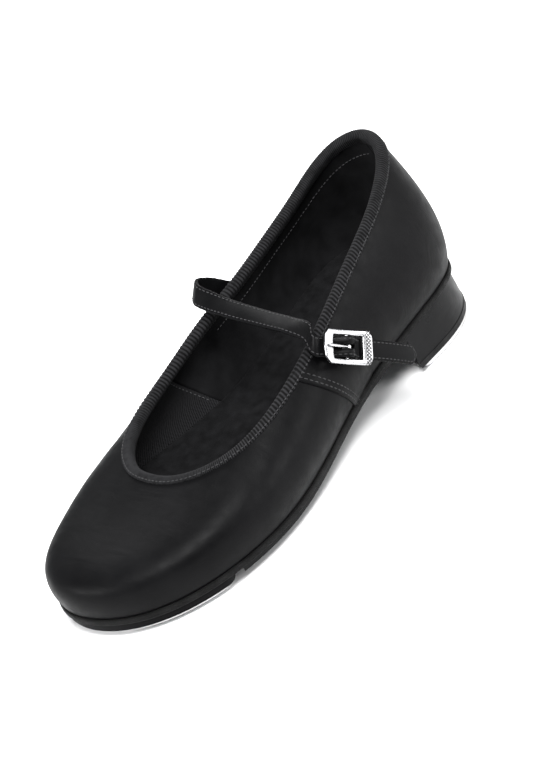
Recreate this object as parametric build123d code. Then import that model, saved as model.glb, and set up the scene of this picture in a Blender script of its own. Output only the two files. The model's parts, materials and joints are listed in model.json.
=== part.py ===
from build123d import *
import os
from math import ceil, cos, floor, hypot, pi, sqrt

# Left tap shoe. Inside this file a place is given as x (towards the outer side of the foot),
# s (from the middle of the heel seat towards the toe) and z (up from the floor), in millimetres.
# The finished shoe points its toe along -Y.

# ---- overall sizes ----
SOLE_LENGTH = 227.0          # heel back to toe tip, along the edge of the sole
BALL_WIDTH = 83.5            # sole width across the ball
COLLAR_HEIGHT = 88.0         # floor to the top edge at the back of the heel
HEEL_LENGTH = 47.0           # heel back to the breast of the heel
SEAT_RISE = 16.0             # seat of the heel above the ball of the foot
TOE_TAP_LENGTH = 43.0        # toe tip to the corners of the toe tap

# ---- upper ----
LEATHER = 1.3
STIFFENER = 0.6
LINING = 0.8
LAYER_GAP = 0.2              # glue and backing between the layers of the upper
LASTING_MARGIN = 12.0        # leather turned in under the insole board
BINDING_WIDTH = 3.8
BINDING_THICKNESS = 0.6
PUFF_HEIGHT = 0.42           # share of the way from sole to throat that the toe puff covers
COUNTER_HEIGHT = 0.72        # share of the way from seat to collar that the counter covers
PUFF_LENGTH = 50.0           # toe puff back from the toe tip
COUNTER_LENGTH = 40.0        # heel counter forward from the heel back

# ---- sole ----
TAP = 2.8
TAP_INSET = 2.6              # toe tap edge inside the sole edge
TAP_BEVEL = 0.8
TAP_CORNER = 6.0
TAP_REAR_RADIUS = 61.0       # curve of the rear edge of the toe tap
TAP_BOARD = 3.0
BOARD_STEP = 1.6             # tap board stands out behind the tap
NOTCH = 4.2                  # open gap between the tap board and the rubber outsole
MIDSOLE = 3.0
OUTSOLE = 2.2
HEEL_LIFT = 2.6
HEEL_TAP_INSET = 0.6
HEEL_TOP_INSET = 1.4         # heel block inside the sole edge at the seat
HEEL_FLARE = 2.4             # how much wider the heel block is at the floor
BREAST_RADIUS = 75.0         # hollow of the heel breast
BREAST_LEAN = 6.0            # degrees that the breast leans back
INSOLE_BOARD = 2.0
CUSHION = 2.5
SOCK = 0.8
FOOTBED_INSET = 4.2          # board and pads inside the sole edge
SHANK_WIDTH = 12.0
SHANK_THICKNESS = 1.1
SHANK_LENGTH = 78.0
RIVET_DIAMETER = 3.0

# ---- fasteners ----
SCREW_DIAMETER = 3.0
SCREW_HEAD = 6.4
SCREW_HEAD_HEIGHT = 1.5
SCREW_SINK = 0.25            # head below the face of the tap
SCREW_LENGTH = 7.0
SCREW_CLEARANCE = 0.3        # radial play of the screw in the tap
SCREW_RECESS = 9.0           # dished ring round each screw head
DRIVE_WIDTH = 0.9
DRIVE_LENGTH = 3.4
DRIVE_DEPTH = 0.9
NAIL_DIAMETER = 1.8
NAIL_LENGTH = 14.0
HEEL_SCREW_DIAMETER = 4.5
HEEL_SCREW_LENGTH = 16.0
GRIP_GAP = 0.01              # nail or screw against the hole it bites in
HEAD_SINK = 0.4              # heads of nails, screw and rivets below the face of the insole board

# ---- strap and buckle ----
STRAP_WIDTH = 8.4
STRAP_THICKNESS = 1.6
STRAP_STANDOFF = 0.55        # strap off the leather that it is sewn to
BAR_DIAMETER = 1.4
BAR_CLEARANCE = 0.05         # radial play of the prong and the tab on the bar
CHAPE_THICKNESS = 0.9
FRAME_LENGTH = 23.0
FRAME_THICKNESS = 2.0
FRAME_BOW = 1.4              # the ends of the buckle stand this much above its middle
WINDOW_LENGTH = 14.4
WINDOW_CLEARANCE = 0.6       # play of the strap in the window, each side
FRAME_RAIL = 2.1
BAR_BITE = 1.3               # length of bar held in each rail
STRAP_UNDER_FRAME = 1.35     # strap below the end bars of the buckle
PRONG_DIAMETER = 1.2
PRONG_REACH = 10.0
TAIL_LENGTH = 25.0
TAIL_JOINT_GAP = 1.0         # between the strap and its tail
BUCKLE_STANDOFF = 5.6        # buckle bar off the leather of the quarter
BUCKLE_STATION = 5.0
BUCKLE_SHARE = 0.72          # share of the way up the quarter
BUCKLE_DIP = 41.0            # degrees that the strap falls as it runs back through the buckle
STRAP_OVER_BAR = 0.3         # strap above the tab on the bar
STRAP_LEAD = 2.6             # the strap lies straight this far before the buckle
TAIL_START = 1.6             # joint of the tail behind the end of the buckle
TAIL_DROOP = 4.0             # the tail bends in towards the quarter
PRONG_REST_GAP = 0.08
SLOT_BEHIND = 6.4            # slot in the strap for the prong, from before the bar
SLOT_AHEAD = 2.9             # to behind it
SLOT_PLAY = 0.4
CHAPE_UNDER_STRAP = 0.35
CHAPE_SEWN = 4.0             # sewn end of the tab behind the buckle
CHAPE_SINK = 1.6             # sewn end of the tab below its bend
SEWN_END = [(18.65, 0.50), (18.35, 0.64), (18.08, 0.77)]   # station and share up the quarter
SEWN_SIDE = (0.1, 0.53, 0.84)                              # way across the strap where it is sewn
# Way of the strap over the instep: station of the collar, then x, s and z from it, and the way across.
STRAP_OVER = [
    (18, -8.6, 8.0, 0.5, (0.1, 0.53, 0.84)),
    (18, -7.4, 14.3, 4.3, (0.12, 0.5, 0.85)),
    (18, -3.6, 17.6, 4.6, (0.2, 0.55, 0.75)),
    (18, 4.6, 19.0, 3.4, (0.15, 0.8, 0.5)),
    (18, 14.0, 19.6, 2.2, (0.1, 0.95, 0.3)),
    (5, -20.0, 6.0, 4.8, (0.0, 1.0, 0.15)),
    (5, -8.0, 6.4, 4.2, (-0.03, 1.0, 0.15)),
    (5, 1.5, 7.0, 2.6, (-0.12, 0.9, 0.4)),
]

# ---- the last ----
# Stations run from the centre of the heel back, round the outer side to the toe, and back along
# the inner side. Each row: sole edge x and s, s of the spine that the station looks at, reach of the
# collar from the spine, collar height, rise and outward swell above the sole edge, drop and outward
# swell below the collar.
GRADED_LENGTH = 227.0
GRADED_WIDTH = 83.5
GRADED_COLLAR = 88.0
LAST = [
    (0.0, -26.0, 8, 29.0, 88.0, 21, 7.0, 23, 7.5),
    (18.0, -21.0, 8.5, 27.0, 85.0, 20, 7.0, 22, 8.0),
    (27.0, -6.5, 11, 24.0, 78.5, 17.5, 7.0, 18.5, 8.0),
    (29.5, 13.0, 20.5, 24.0, 71.0, 14.5, 7.5, 15.5, 8.0),
    (30.0, 37.5, 41, 26.5, 63.0, 13, 7.5, 13.5, 8.5),
    (32.0, 63.5, 65, 30.0, 54.5, 12.5, 8.0, 12.5, 9.5),
    (38.5, 93.0, 90, 32.0, 46.0, 13.5, 8.0, 11, 12.0),
    (44.0, 124.0, 104.5, 33.0, 40.5, 15.5, 8.0, 8, 17.5),
    (43.5, 149.0, 110.5, 32.5, 38.5, 18.5, 8.0, 7, 25.0),
    (36.5, 173.0, 112, 32.5, 37.5, 21, 8.0, 9, 34.0),
    (20.5, 193.0, 112.5, 32.5, 37.0, 24, 8.0, 11.5, 40.0),
    (-4.0, 201.0, 112.5, 32.5, 37.0, 25, 8.0, 12.5, 43.0),
    (-24.5, 193.5, 112.5, 33.0, 37.5, 24, 8.0, 11.5, 40.0),
    (-35.5, 175.0, 112, 33.0, 38.0, 22, 8.0, 9.5, 33.0),
    (-39.5, 151.0, 110.5, 33.0, 39.0, 20, 8.0, 7, 25.0),
    (-39.0, 128.5, 106, 33.0, 41.5, 17.5, 8.0, 8, 17.5),
    (-31.5, 102.5, 97, 31.0, 46.5, 15.5, 9.0, 11.5, 13.5),
    (-24.0, 76.5, 76.5, 29.5, 54.0, 13.5, 10.5, 13.5, 10.5),
    (-23.0, 51.0, 55, 28.0, 60.0, 13.5, 10.5, 14.5, 9.5),
    (-26.0, 28.0, 32.5, 26.5, 66.0, 14.5, 9.0, 15.5, 9.0),
    (-28.5, 7.5, 17, 26.5, 71.5, 15.5, 8.0, 16.5, 8.5),
    (-26.5, -8.5, 11, 26.5, 78.5, 17.5, 7.5, 19, 8.0),
    (-18.0, -21.0, 8.5, 27.5, 84.5, 20, 7.0, 22, 8.0),
]
STATIONS = len(LAST)
SIDE_SEAM_OUTER = 5.4        # station where the vamp meets the outer quarter
SIDE_SEAM_INNER = 16.6       # station where the vamp meets the inner quarter
RELAX_ROUNDS = 24
HIGH = 150.0                 # taller than the shoe
LIP_INSET = 0.4
BINDING_BUTT = 0.02          # the ends of the binding meet at the centre back
BOARD_GAP = 0.3
SHEET_GAP = 0.1
FILLER_GAP = 2.0             # between the shank and the bottom filler
SEAT_GAP = 0.1               # cement line between the midsole and the tap board
UPPER_GAP = 0.3              # cement line between the upper and the sole
SCREW_SPREAD = 56.0          # between the two rear screws of the toe tap
TOE_SCREW_SETBACK = 12.0
TOE_SCREW_SIDE = -2.0
HEEL_SCREW_SPREAD = 36.0
HEEL_SCREW_SETBACK = 12.0
HEEL_SCREW_REAR = 10.5
HEEL_TAP_CORNER = 4.0
HEEL_BACK = 26.0             # heel back behind the middle of the heel seat

long_scale = SOLE_LENGTH / GRADED_LENGTH
wide_scale = BALL_WIDTH / GRADED_WIDTH
heel_back = -HEEL_BACK * long_scale
toe_tip = heel_back + SOLE_LENGTH
breast = heel_back + HEEL_LENGTH
ball = 126.0 * long_scale
ball_top = TAP + TAP_BOARD + SEAT_GAP + MIDSOLE
collar_lift = COLLAR_HEIGHT - GRADED_COLLAR
graded_ball_top = 8.9
GRADED_THROAT = 37.0


def relaxed(values):
    """Controls of the closed cubic spline that passes through the values."""
    controls = list(values)
    for _ in range(RELAX_ROUNDS):
        for i in range(len(values)):
            around = controls[i - 1] + controls[(i + 1) % len(values)]
            controls[i] = (6 * values[i] - around) / 4
    return controls


def spline_value(controls, place):
    """Value of a closed cubic spline at a place counted in stations."""
    first = floor(place)
    t = place - first
    weights = ((1 - t) ** 3, 3 * t**3 - 6 * t**2 + 4, -3 * t**3 + 3 * t**2 + 3 * t + 1, t**3)
    return sum(w * controls[(first - 1 + k) % STATIONS] for k, w in enumerate(weights)) / 6


def sole_top(s):
    """Height of the top of the sole, where the upper begins."""
    t = min(1.0, max(0.0, (ball - s) / (ball + 9 * long_scale)))
    return ball_top + SEAT_RISE * t * t * (3 - 2 * t)


def collar_height(row):
    """Collar height of a station: the throat follows the ball, the back follows the collar."""
    share = (row[4] - GRADED_THROAT) / (GRADED_COLLAR - GRADED_THROAT)
    return row[4] + (ball_top - graded_ball_top) * (1 - share) + collar_lift * share


columns = [
    relaxed([row[0] * wide_scale for row in LAST]),
    relaxed([row[1] * long_scale for row in LAST]),
    relaxed([row[2] * long_scale for row in LAST]),
    relaxed([row[3] * wide_scale for row in LAST]),
    relaxed([collar_height(row) for row in LAST]),
] + [relaxed([row[k] for row in LAST]) for k in (5, 6, 7, 8)]


def station(place):
    return [spline_value(column, place) for column in columns]


def edge_normal(place):
    """Outward direction of the sole edge in plan."""
    step = 0.01
    before, after = station(place - step), station(place + step)
    dx, ds = after[0] - before[0], after[1] - before[1]
    length = hypot(dx, ds)
    return ds / length, -dx / length


def profile(place, depth, lift=0.0):
    """Bezier controls (reach from the spine, height) of a layer that lies depth inside the leather."""
    x, s, spine, reach, top, rise, swell, drop, top_swell = station(place)
    edge = hypot(x, s - spine)
    low = sole_top(s)
    outer = [(edge, low), (edge + swell, low + rise), (reach + top_swell, top - drop), (reach, top)]
    low_length = hypot(swell, rise)
    top_length = hypot(top_swell, drop)
    start = (edge - depth * low_length / rise, low + lift)
    end = (reach - depth * drop / top_length, top - depth * top_swell / top_length)
    whole = hypot(edge - reach, top - low)
    shrink = hypot(start[0] - end[0], end[1] - start[1]) / whole
    second = (start[0] + swell * shrink, start[1] + rise * shrink)
    third = (end[0] + top_swell * shrink, end[1] - drop * shrink)
    return [start, second, third, end], outer


def split(controls, begin, end):
    """Part of a Bezier curve between two parameters."""
    def cut(points, t):
        left, right = [points[0]], [points[-1]]
        while len(points) > 1:
            points = [tuple(a + (b - a) * t for a, b in zip(p, q)) for p, q in zip(points, points[1:])]
            left.append(points[0])
            right.insert(0, points[-1])
        return left, right
    left, _ = cut(controls, end)
    return cut(left, begin / end)[1] if begin > 0 else left


def bezier_value(controls, t):
    while len(controls) > 1:
        controls = [tuple(a + (b - a) * t for a, b in zip(p, q)) for p, q in zip(controls, controls[1:])]
    return controls[0]


def place_point(place, point):
    """Point of the model from a station and a (reach, height) pair."""
    x, s, spine = station(place)[:3]
    edge = hypot(x, s - spine)
    return Vector(point[0] * x / edge, -(spine + point[0] * (s - spine) / edge), point[1])


def surface_point(place, share, depth=0.0):
    return place_point(place, bezier_value(profile(place, depth)[0], share))


def surface_normal(place, share):
    """Outward normal of the leather."""
    step = 0.02
    along = surface_point(place + step, share) - surface_point(place - step, share)
    up = surface_point(place, share + step) - surface_point(place, share - step)
    return up.cross(along).normalized()


def steps(begin, end, size=1.0):
    count = max(2, ceil((end - begin) / size))
    return [begin + (end - begin) * i / count for i in range(count + 1)]


def stops(begin, end):
    """The two ends and the whole stations between them, so that nested layers share their sections."""
    whole = range(ceil(begin + 0.2), floor(end - 0.2) + 1)
    return [begin, *whole, end]


def solid_of(shape):
    """The one solid of a shape, turned so that its volume is positive."""
    solid = shape.solids()[0]
    return solid if solid.volume > 0 else Solid(solid.wrapped.Reversed())


def ring_panel(begin, end, near, far, low=0.0, high=1.0, lift=0.0, margin=0.0):
    """Part of one layer of the upper, between two stations and two depths."""
    sections = []
    for place in stops(begin, end):
        outer = split(profile(place, near, lift)[0], low, high)
        inner = split(profile(place, far, lift)[0], low, high)
        corners = []
        if margin:
            x, s, spine = station(place)[:3]
            edge = hypot(x, s - spine)
            reach = edge - margin
            low_in = sole_top(spine + reach * (s - spine) / edge)
            inner = split(profile(place, far, far)[0], low, high)
            corners = [(reach, low_in + far), (reach, low_in)]
        outer_points = [place_point(place, p) for p in outer]
        inner_points = [place_point(place, p) for p in reversed(inner)]
        edges = [Edge.make_bezier(*outer_points), Edge.make_line(outer_points[-1], inner_points[0])]
        edges.append(Edge.make_bezier(*inner_points))
        chain = [inner_points[-1]] + [place_point(place, c) for c in corners] + [outer_points[0]]
        edges += [Edge.make_line(a, b) for a, b in zip(chain, chain[1:])]
        sections.append(Wire(edges))
    return solid_of(Solid.make_loft(sections))


def binding_leg(place, depth):
    """Three points of one face of the binding, from its edge up to the rim."""
    controls = profile(place, depth)[0]
    length = hypot(controls[3][0] - controls[2][0], controls[3][1] - controls[2][1])
    reach = BINDING_WIDTH / (3 * length)
    return [bezier_value(controls, 1 - reach * share) for share in (1, 0.5, 0)]


def binding_top(leg, above):
    """Top of one face of the binding, above the rim."""
    run = (leg[2][0] - leg[1][0], leg[2][1] - leg[1][1])
    length = hypot(*run)
    return leg[2][0] + run[0] * above / length, leg[2][1] + run[1] * above / length


def binding_length(begin, end):
    """Tape folded over the collar between two stations."""
    inside = LEATHER + STIFFENER + LINING + 3 * LAYER_GAP
    tape = BINDING_THICKNESS
    sections = []
    for place in stops(begin, end):
        depths = (-LAYER_GAP - tape, inside + tape, inside, -LAYER_GAP)
        faces = [binding_leg(place, depth) for depth in depths]
        tops = [binding_top(leg, above) for leg, above in
                zip(faces, (LAYER_GAP + tape, LAYER_GAP + tape, LAYER_GAP, LAYER_GAP))]
        around = [*faces[0][:2], tops[0], tops[1], *reversed(faces[1][:2])]
        around += [*faces[2][:2], tops[2], tops[3], *reversed(faces[3][:2])]
        points = [place_point(place, point) for point in around]
        sections.append(Wire.make_polygon(points, close=True))
    return solid_of(Solid.make_loft(sections))


def binding(*under_front):
    """The whole binding, joined where the panels under it are joined and cut to the front ones."""
    joins = (0, SIDE_SEAM_OUTER, SIDE_SEAM_INNER, STATIONS - BINDING_BUTT)
    outer, front, inner = [binding_length(begin, end) for begin, end in zip(joins, joins[1:])]
    return [outer, solid_of(front - under_front[0] - under_front[1]), inner]


# ---- sole ----
def plate(inset, low, high):
    """Flat plate with the plan of the sole edge."""
    points = []
    for place in steps(0, STATIONS)[:-1]:
        x, s = station(place)[:2]
        nx, ns = edge_normal(place)
        points.append(Vector(x - nx * inset, ns * inset - s, low))
    outline = Wire([Edge.make_spline(points, periodic=True)])
    return Solid.extrude(Face(outline), Vector(0, 0, high - low))


def curtain(low, high):
    """Everything between two heights above the top of the sole, which falls from the seat to the ball."""
    wide = BALL_WIDTH
    lengths = steps(heel_back - 20, toe_tip + 20, 12)
    lower = [Vector(-wide, -s, sole_top(s) + low) for s in lengths]
    upper = [Vector(-wide, -s, sole_top(s) + high) for s in reversed(lengths)]
    edges = [Edge.make_spline(lower), Edge.make_line(lower[-1], upper[0])]
    edges += [Edge.make_spline(upper), Edge.make_line(upper[-1], lower[0])]
    return Solid.extrude(Face(Wire(edges)), Vector(2 * wide, 0, 0))


def block(x_low, x_high, s_low, s_high, z_low, z_high):
    """Upright block between two places."""
    size = (x_high - x_low, s_high - s_low, z_high - z_low)
    return Solid.make_box(*size).moved(Location((x_low, -s_high, z_low)))


def column(x, s, low, high, radius, top_radius=None):
    """Upright round column, or a cone."""
    plane = Plane((x, -s, low))
    if top_radius is None:
        return Solid.make_cylinder(radius, high - low, plane)
    return Solid.make_cone(radius, top_radius, high - low, plane)


def foot_layer(inset, low, high):
    return plate(inset, 0, COLLAR_HEIGHT) & curtain(low, high)


def heel_space(extra=0.0):
    """The part of the shoe behind the hollow breast of the heel."""
    half = 26.0 * wide_scale
    centre = breast - extra + sqrt(BREAST_RADIUS**2 - half**2)
    hollow = column(0, centre, -HIGH, HIGH, BREAST_RADIUS)
    pivot = Axis((0, -breast, 0), (1, 0, 0))
    hollow = hollow.rotate(pivot, BREAST_LEAN)
    return block(-BALL_WIDTH, BALL_WIDTH, heel_back - 20, breast + 8, -HIGH, HIGH) - hollow


def tap_disc(extra):
    """Disc whose rear edge gives the toe tap and the layers round it their curved rear edges."""
    corner = toe_tip - TOE_TAP_LENGTH
    half = 39.0 * wide_scale
    centre = corner + sqrt(TAP_REAR_RADIUS**2 - half**2)
    return column(0, centre, -HIGH, HIGH, TAP_REAR_RADIUS + extra)


def heel_inset(height):
    """Inset of the heel block from the sole edge, which flares towards the floor."""
    seat = ball_top + SEAT_RISE
    return HEEL_TOP_INSET - HEEL_FLARE * (seat - height) / seat


def heel_plan(height):
    points = []
    for place in steps(0, STATIONS)[:-1]:
        x, s = station(place)[:2]
        nx, ns = edge_normal(place)
        inset = heel_inset(height)
        points.append(Vector(x - nx * inset, ns * inset - s, height))
    return Wire([Edge.make_spline(points, periodic=True)])


def upright_edges(shape):
    found = []
    for edge in shape.edges():
        run = edge.position_at(1) - edge.position_at(0)
        if hypot(run.X, run.Y) < 0.01 < abs(run.Z):
            found.append(edge)
    return found


def rounded_corners(shape, radius):
    """The same plate with its upright corners rounded."""
    return solid_of(shape.fillet(radius, upright_edges(shape)))


toe_screws = [(x, toe_tip - TOE_TAP_LENGTH + 1) for x in (-SCREW_SPREAD / 2, SCREW_SPREAD / 2)]
toe_screws.append((TOE_SCREW_SIDE, toe_tip - TOE_SCREW_SETBACK))
heel_screws = [(-HEEL_SCREW_SPREAD / 2, breast - HEEL_SCREW_SETBACK)]
heel_screws += [(HEEL_SCREW_SPREAD / 2, breast - HEEL_SCREW_SETBACK), (0.0, heel_back + HEEL_SCREW_REAR)]
heel_nails = [(-11.0, -9.0), (11.0, -9.0), (-13.0, 6.0), (13.0, 6.0)]
heel_centre = [(0.0, 2.0)]
shank_start = breast - 8
rivet_places = [breast - 2, shank_start + SHANK_LENGTH - 14]


def bores(places, low, high, radius):
    return [column(x, s, low, high, radius) for x, s in places]


def tap_screw(x, s):
    """Pan-head screw that comes up through a tap from below."""
    head_top = SCREW_SINK + SCREW_HEAD_HEIGHT
    head = column(x, s, SCREW_SINK, head_top, SCREW_HEAD / 2)
    head = head.fillet(0.7, [head.edges().sort_by(Axis.Z)[0]])
    shank = column(x, s, head_top, SCREW_LENGTH, SCREW_DIAMETER / 2)
    tip = column(x, s, SCREW_LENGTH, SCREW_LENGTH + 1, SCREW_DIAMETER / 2, 0.4)
    screw = head + shank + tip
    half, long_half = DRIVE_WIDTH / 2, DRIVE_LENGTH / 2
    for a, b in ((half, long_half), (long_half, half)):
        screw -= block(x - a, x + a, s - b, s + b, -1, SCREW_SINK + DRIVE_DEPTH)
    return solid_of(screw)


def screw_seat(x, s):
    """Dished recess and clear hole for one screw in a tap."""
    head_top = SCREW_SINK + SCREW_HEAD_HEIGHT
    dish = column(x, s, -0.01, head_top, SCREW_RECESS / 2, SCREW_HEAD / 2 + 0.5)
    return [dish, column(x, s, 0, HIGH, SCREW_DIAMETER / 2 + SCREW_CLEARANCE)]


def bitten(places, length):
    """Holes that screws coming up from the taps cut for themselves."""
    return bores(places, 0, length + 1.05, SCREW_DIAMETER / 2 + GRIP_GAP)


def make_toe_tap():
    tap = rounded_corners(plate(TAP_INSET, 0, TAP) & tap_disc(0), TAP_CORNER)
    tap = tap.chamfer(TAP_BEVEL, None, tap.edges().group_by(Axis.Z)[0])
    for x, s in toe_screws:
        tap = tap.cut(*screw_seat(x, s))
    return tap


def make_tap_board():
    board = plate(LIP_INSET, TAP, TAP + TAP_BOARD) & tap_disc(BOARD_STEP)
    return rounded_corners(board, TAP_CORNER).cut(*bitten(toe_screws, SCREW_LENGTH))


def make_midsole():
    layer = foot_layer(0, -MIDSOLE, -UPPER_GAP) - heel_space()
    return layer.cut(*bitten(toe_screws, SCREW_LENGTH))


def make_outsole():
    layer = foot_layer(LIP_INSET, -MIDSOLE - OUTSOLE, -MIDSOLE) - heel_space()
    return layer - tap_disc(BOARD_STEP + NOTCH)


def make_heel_block():
    low, high = TAP + HEEL_LIFT, COLLAR_HEIGHT
    body = Solid.make_loft([heel_plan(low), heel_plan(high)])
    body = body & heel_space() & curtain(-HIGH, -UPPER_GAP)
    holes = bitten(heel_screws, SCREW_LENGTH)
    holes += driven_holes(heel_nails, NAIL_LENGTH, NAIL_DIAMETER)
    holes += driven_holes(heel_centre, HEEL_SCREW_LENGTH, HEEL_SCREW_DIAMETER)
    return body.cut(*holes)


def head_height(s):
    """Height of the heads that are sunk in the insole board."""
    return sole_top(s) + LEATHER + BOARD_GAP + INSOLE_BOARD - HEAD_SINK


def driven(places, length, diameter):
    """Nails or screws driven down through the insole board into the heel."""
    return [column(x, s, head_height(s) - length, head_height(s), diameter / 2) for x, s in places]


def driven_holes(places, length, diameter):
    radius = diameter / 2 + GRIP_GAP
    return [column(x, s, head_height(s) - length - GRIP_GAP, HIGH, radius) for x, s in places]


def make_heel_lift():
    lift = Solid.extrude(Face(heel_plan(TAP)), Vector(0, 0, HEEL_LIFT)) & heel_space()
    return lift.cut(*bitten(heel_screws, SCREW_LENGTH))


def make_heel_tap():
    inset = heel_inset(TAP) + HEEL_TAP_INSET
    tap = plate(inset, 0, TAP) & heel_plate_space()
    tap = rounded_corners(tap, HEEL_TAP_CORNER)
    tap = tap.chamfer(TAP_BEVEL, None, tap.edges().group_by(Axis.Z)[0])
    for x, s in heel_screws:
        tap = tap.cut(*screw_seat(x, s))
    return tap


def heel_plate_space():
    """Space of the heel tap, whose hollow front edge stands upright, just behind the breast."""
    half = 26.0 * wide_scale
    centre = breast - HEEL_TAP_INSET + sqrt(BREAST_RADIUS**2 - half**2)
    hollow = column(0, centre, -HIGH, HIGH, BREAST_RADIUS)
    return block(-BALL_WIDTH, BALL_WIDTH, heel_back - 20, breast + 8, -HIGH, HIGH) - hollow


def rivets():
    found = []
    for s in rivet_places:
        found.append(column(0, s, sole_top(s) + HEAD_SINK, head_height(s), RIVET_DIAMETER / 2))
    return found


def rivet_holes():
    return [column(0, s, 0, HIGH, RIVET_DIAMETER / 2 + GRIP_GAP) for s in rivet_places]


def make_insole_board():
    low = LEATHER + BOARD_GAP
    board = foot_layer(FOOTBED_INSET, low, low + INSOLE_BOARD)
    holes = rivet_holes() + driven_holes(heel_nails, NAIL_LENGTH, NAIL_DIAMETER)
    holes += driven_holes(heel_centre, HEEL_SCREW_LENGTH, HEEL_SCREW_DIAMETER)
    return board.cut(*holes)


def shank_plan():
    half = SHANK_WIDTH / 2
    strip = block(-half, half, shank_start, shank_start + SHANK_LENGTH, 0, COLLAR_HEIGHT)
    return rounded_corners(strip, half - 0.5)


def make_shank():
    strip = shank_plan() & curtain(SHEET_GAP, SHEET_GAP + SHANK_THICKNESS)
    return strip.cut(*rivet_holes())


def make_filler():
    layer = foot_layer(FOOTBED_INSET + LASTING_MARGIN, SHEET_GAP, LEATHER)
    start = shank_start + SHANK_LENGTH + FILLER_GAP
    return layer & block(-BALL_WIDTH, BALL_WIDTH, start, toe_tip, 0, HIGH)


def make_cushion():
    low = LEATHER + BOARD_GAP + INSOLE_BOARD + SHEET_GAP
    return foot_layer(FOOTBED_INSET, low, low + CUSHION)


def make_sock():
    low = LEATHER + BOARD_GAP + INSOLE_BOARD + 2 * SHEET_GAP + CUSHION
    return foot_layer(FOOTBED_INSET, low, low + SOCK)


# ---- strap and buckle ----
def smooth_path(points):
    """Curve through the points, as a function of a place counted in points."""
    runs = [(q - p).length for p, q in zip(points, points[1:])]
    slopes = [(q - p) / run for p, q, run in zip(points, points[1:], runs)]
    turns = [slopes[0]]
    for i in range(1, len(slopes)):
        turns.append((slopes[i - 1] * runs[i] + slopes[i] * runs[i - 1]) / (runs[i] + runs[i - 1]))
    turns.append(slopes[-1])

    def at(place):
        i = min(int(place), len(runs) - 1)
        t = place - i
        run = runs[i]
        value = points[i] * (2 * t**3 - 3 * t**2 + 1) + turns[i] * (run * (t**3 - 2 * t**2 + t))
        return value + points[i + 1] * (3 * t**2 - 2 * t**3) + turns[i + 1] * (run * (t**3 - t**2))
    return at


class Buckle:
    """Place of the buckle: its bar, its long way, its cross way and its face."""

    skin = surface_point(BUCKLE_STATION, BUCKLE_SHARE)
    face = surface_normal(BUCKLE_STATION, BUCKLE_SHARE)
    level = Vector(0, 0, 1).cross(face).normalized()
    long_way = level.rotate(Axis((0, 0, 0), face), -BUCKLE_DIP)
    cross_way = face.cross(long_way)
    bar = skin + face * BUCKLE_STANDOFF
    plane = Plane(bar, x_dir=long_way, z_dir=face)


def at_buckle(along, rise, across=0.0):
    return Buckle.bar + Buckle.long_way * along + Buckle.face * rise + Buckle.cross_way * across


BAR_TOP = BAR_DIAMETER / 2 + BAR_CLEARANCE + CHAPE_THICKNESS
STRAP_HIGH = BAR_TOP + STRAP_OVER_BAR + STRAP_THICKNESS / 2
STRAP_LOW = FRAME_BOW - FRAME_THICKNESS / 2 - STRAP_UNDER_FRAME - STRAP_THICKNESS / 2


def strap_rise(along):
    """Height of the middle of the strap over the bar, as it dips under both ends of the buckle."""
    reach = WINDOW_LENGTH / 2 - 0.7
    if abs(along) > reach:
        return STRAP_LOW
    return STRAP_LOW + (STRAP_HIGH - STRAP_LOW) * (1 + cos(pi * along / reach)) / 2


def sewn_point(place, share):
    lift = STRAP_STANDOFF + STRAP_THICKNESS / 2
    return surface_point(place, share) + surface_normal(place, share) * lift


def over_collar(place, x, s, z):
    """Point given from the collar at a station."""
    return surface_point(place, 1.0) + Vector(x, -s, z)


def strap_route():
    """Middle line of the strap and the way across it, from its sewn end to the joint of its tail."""
    route = [(sewn_point(place, share), Vector(*SEWN_SIDE)) for place, share in SEWN_END]
    for place, x, s, z, side in STRAP_OVER:
        route.append((over_collar(place, x, s, z), Vector(*side)))
    end = FRAME_LENGTH / 2 + TAIL_START - TAIL_JOINT_GAP / 2
    reach = FRAME_LENGTH / 2
    inner = WINDOW_LENGTH / 2
    half_way = (-reach - STRAP_LEAD, -reach, -inner - 1, -inner + 0.6, -inner / 2 + 0.3)
    for along in (*half_way, 0, *[-place for place in reversed(half_way[1:])], end):
        route.append((at_buckle(along, strap_rise(along)), Buckle.cross_way))
    return route


def turning(directions, place):
    """Direction between two neighbours of a list."""
    i = min(int(place), len(directions) - 2)
    t = place - i
    return directions[i] * (1 - t) + directions[i + 1] * t


def ribbon(route, begin, end, width, thickness, size=0.5):
    """Flat band along a route of points and the ways across it."""
    middle = smooth_path([point for point, _ in route])
    ways = [direction.normalized() for _, direction in route]
    sections = []
    for place in steps(begin, end, size):
        before, after = max(place - 0.02, 0), min(place + 0.02, len(route) - 1)
        forward = (middle(after) - middle(before)).normalized()
        side = turning(ways, place).normalized() * (width / 2)
        up = forward.cross(side).normalized() * (thickness / 2)
        centre = middle(place)
        corners = [centre + side + up, centre - side + up, centre - side - up, centre + side - up]
        sections.append(Wire.make_polygon(corners, close=True))
    return solid_of(Solid.make_loft(sections))


def make_strap():
    route = strap_route()
    band = ribbon(route, 0, len(route) - 1, STRAP_WIDTH, STRAP_THICKNESS)
    slot_length = SLOT_BEHIND + SLOT_AHEAD
    slot = Solid.make_box(slot_length, PRONG_DIAMETER + 2 * SLOT_PLAY, 4 * STRAP_THICKNESS, Buckle.plane)
    slot = slot.moved(Location(at_buckle(-SLOT_BEHIND, 0, -PRONG_DIAMETER / 2 - SLOT_PLAY) - Buckle.bar))
    return solid_of(band - slot)


def tail_route():
    start = FRAME_LENGTH / 2 + TAIL_START + TAIL_JOINT_GAP / 2
    route = []
    for share in (0, 1 / 3, 2 / 3, 1):
        along = start + TAIL_LENGTH * share
        route.append((at_buckle(along, STRAP_LOW - TAIL_DROOP * share**2), Buckle.cross_way))
    return route


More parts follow.
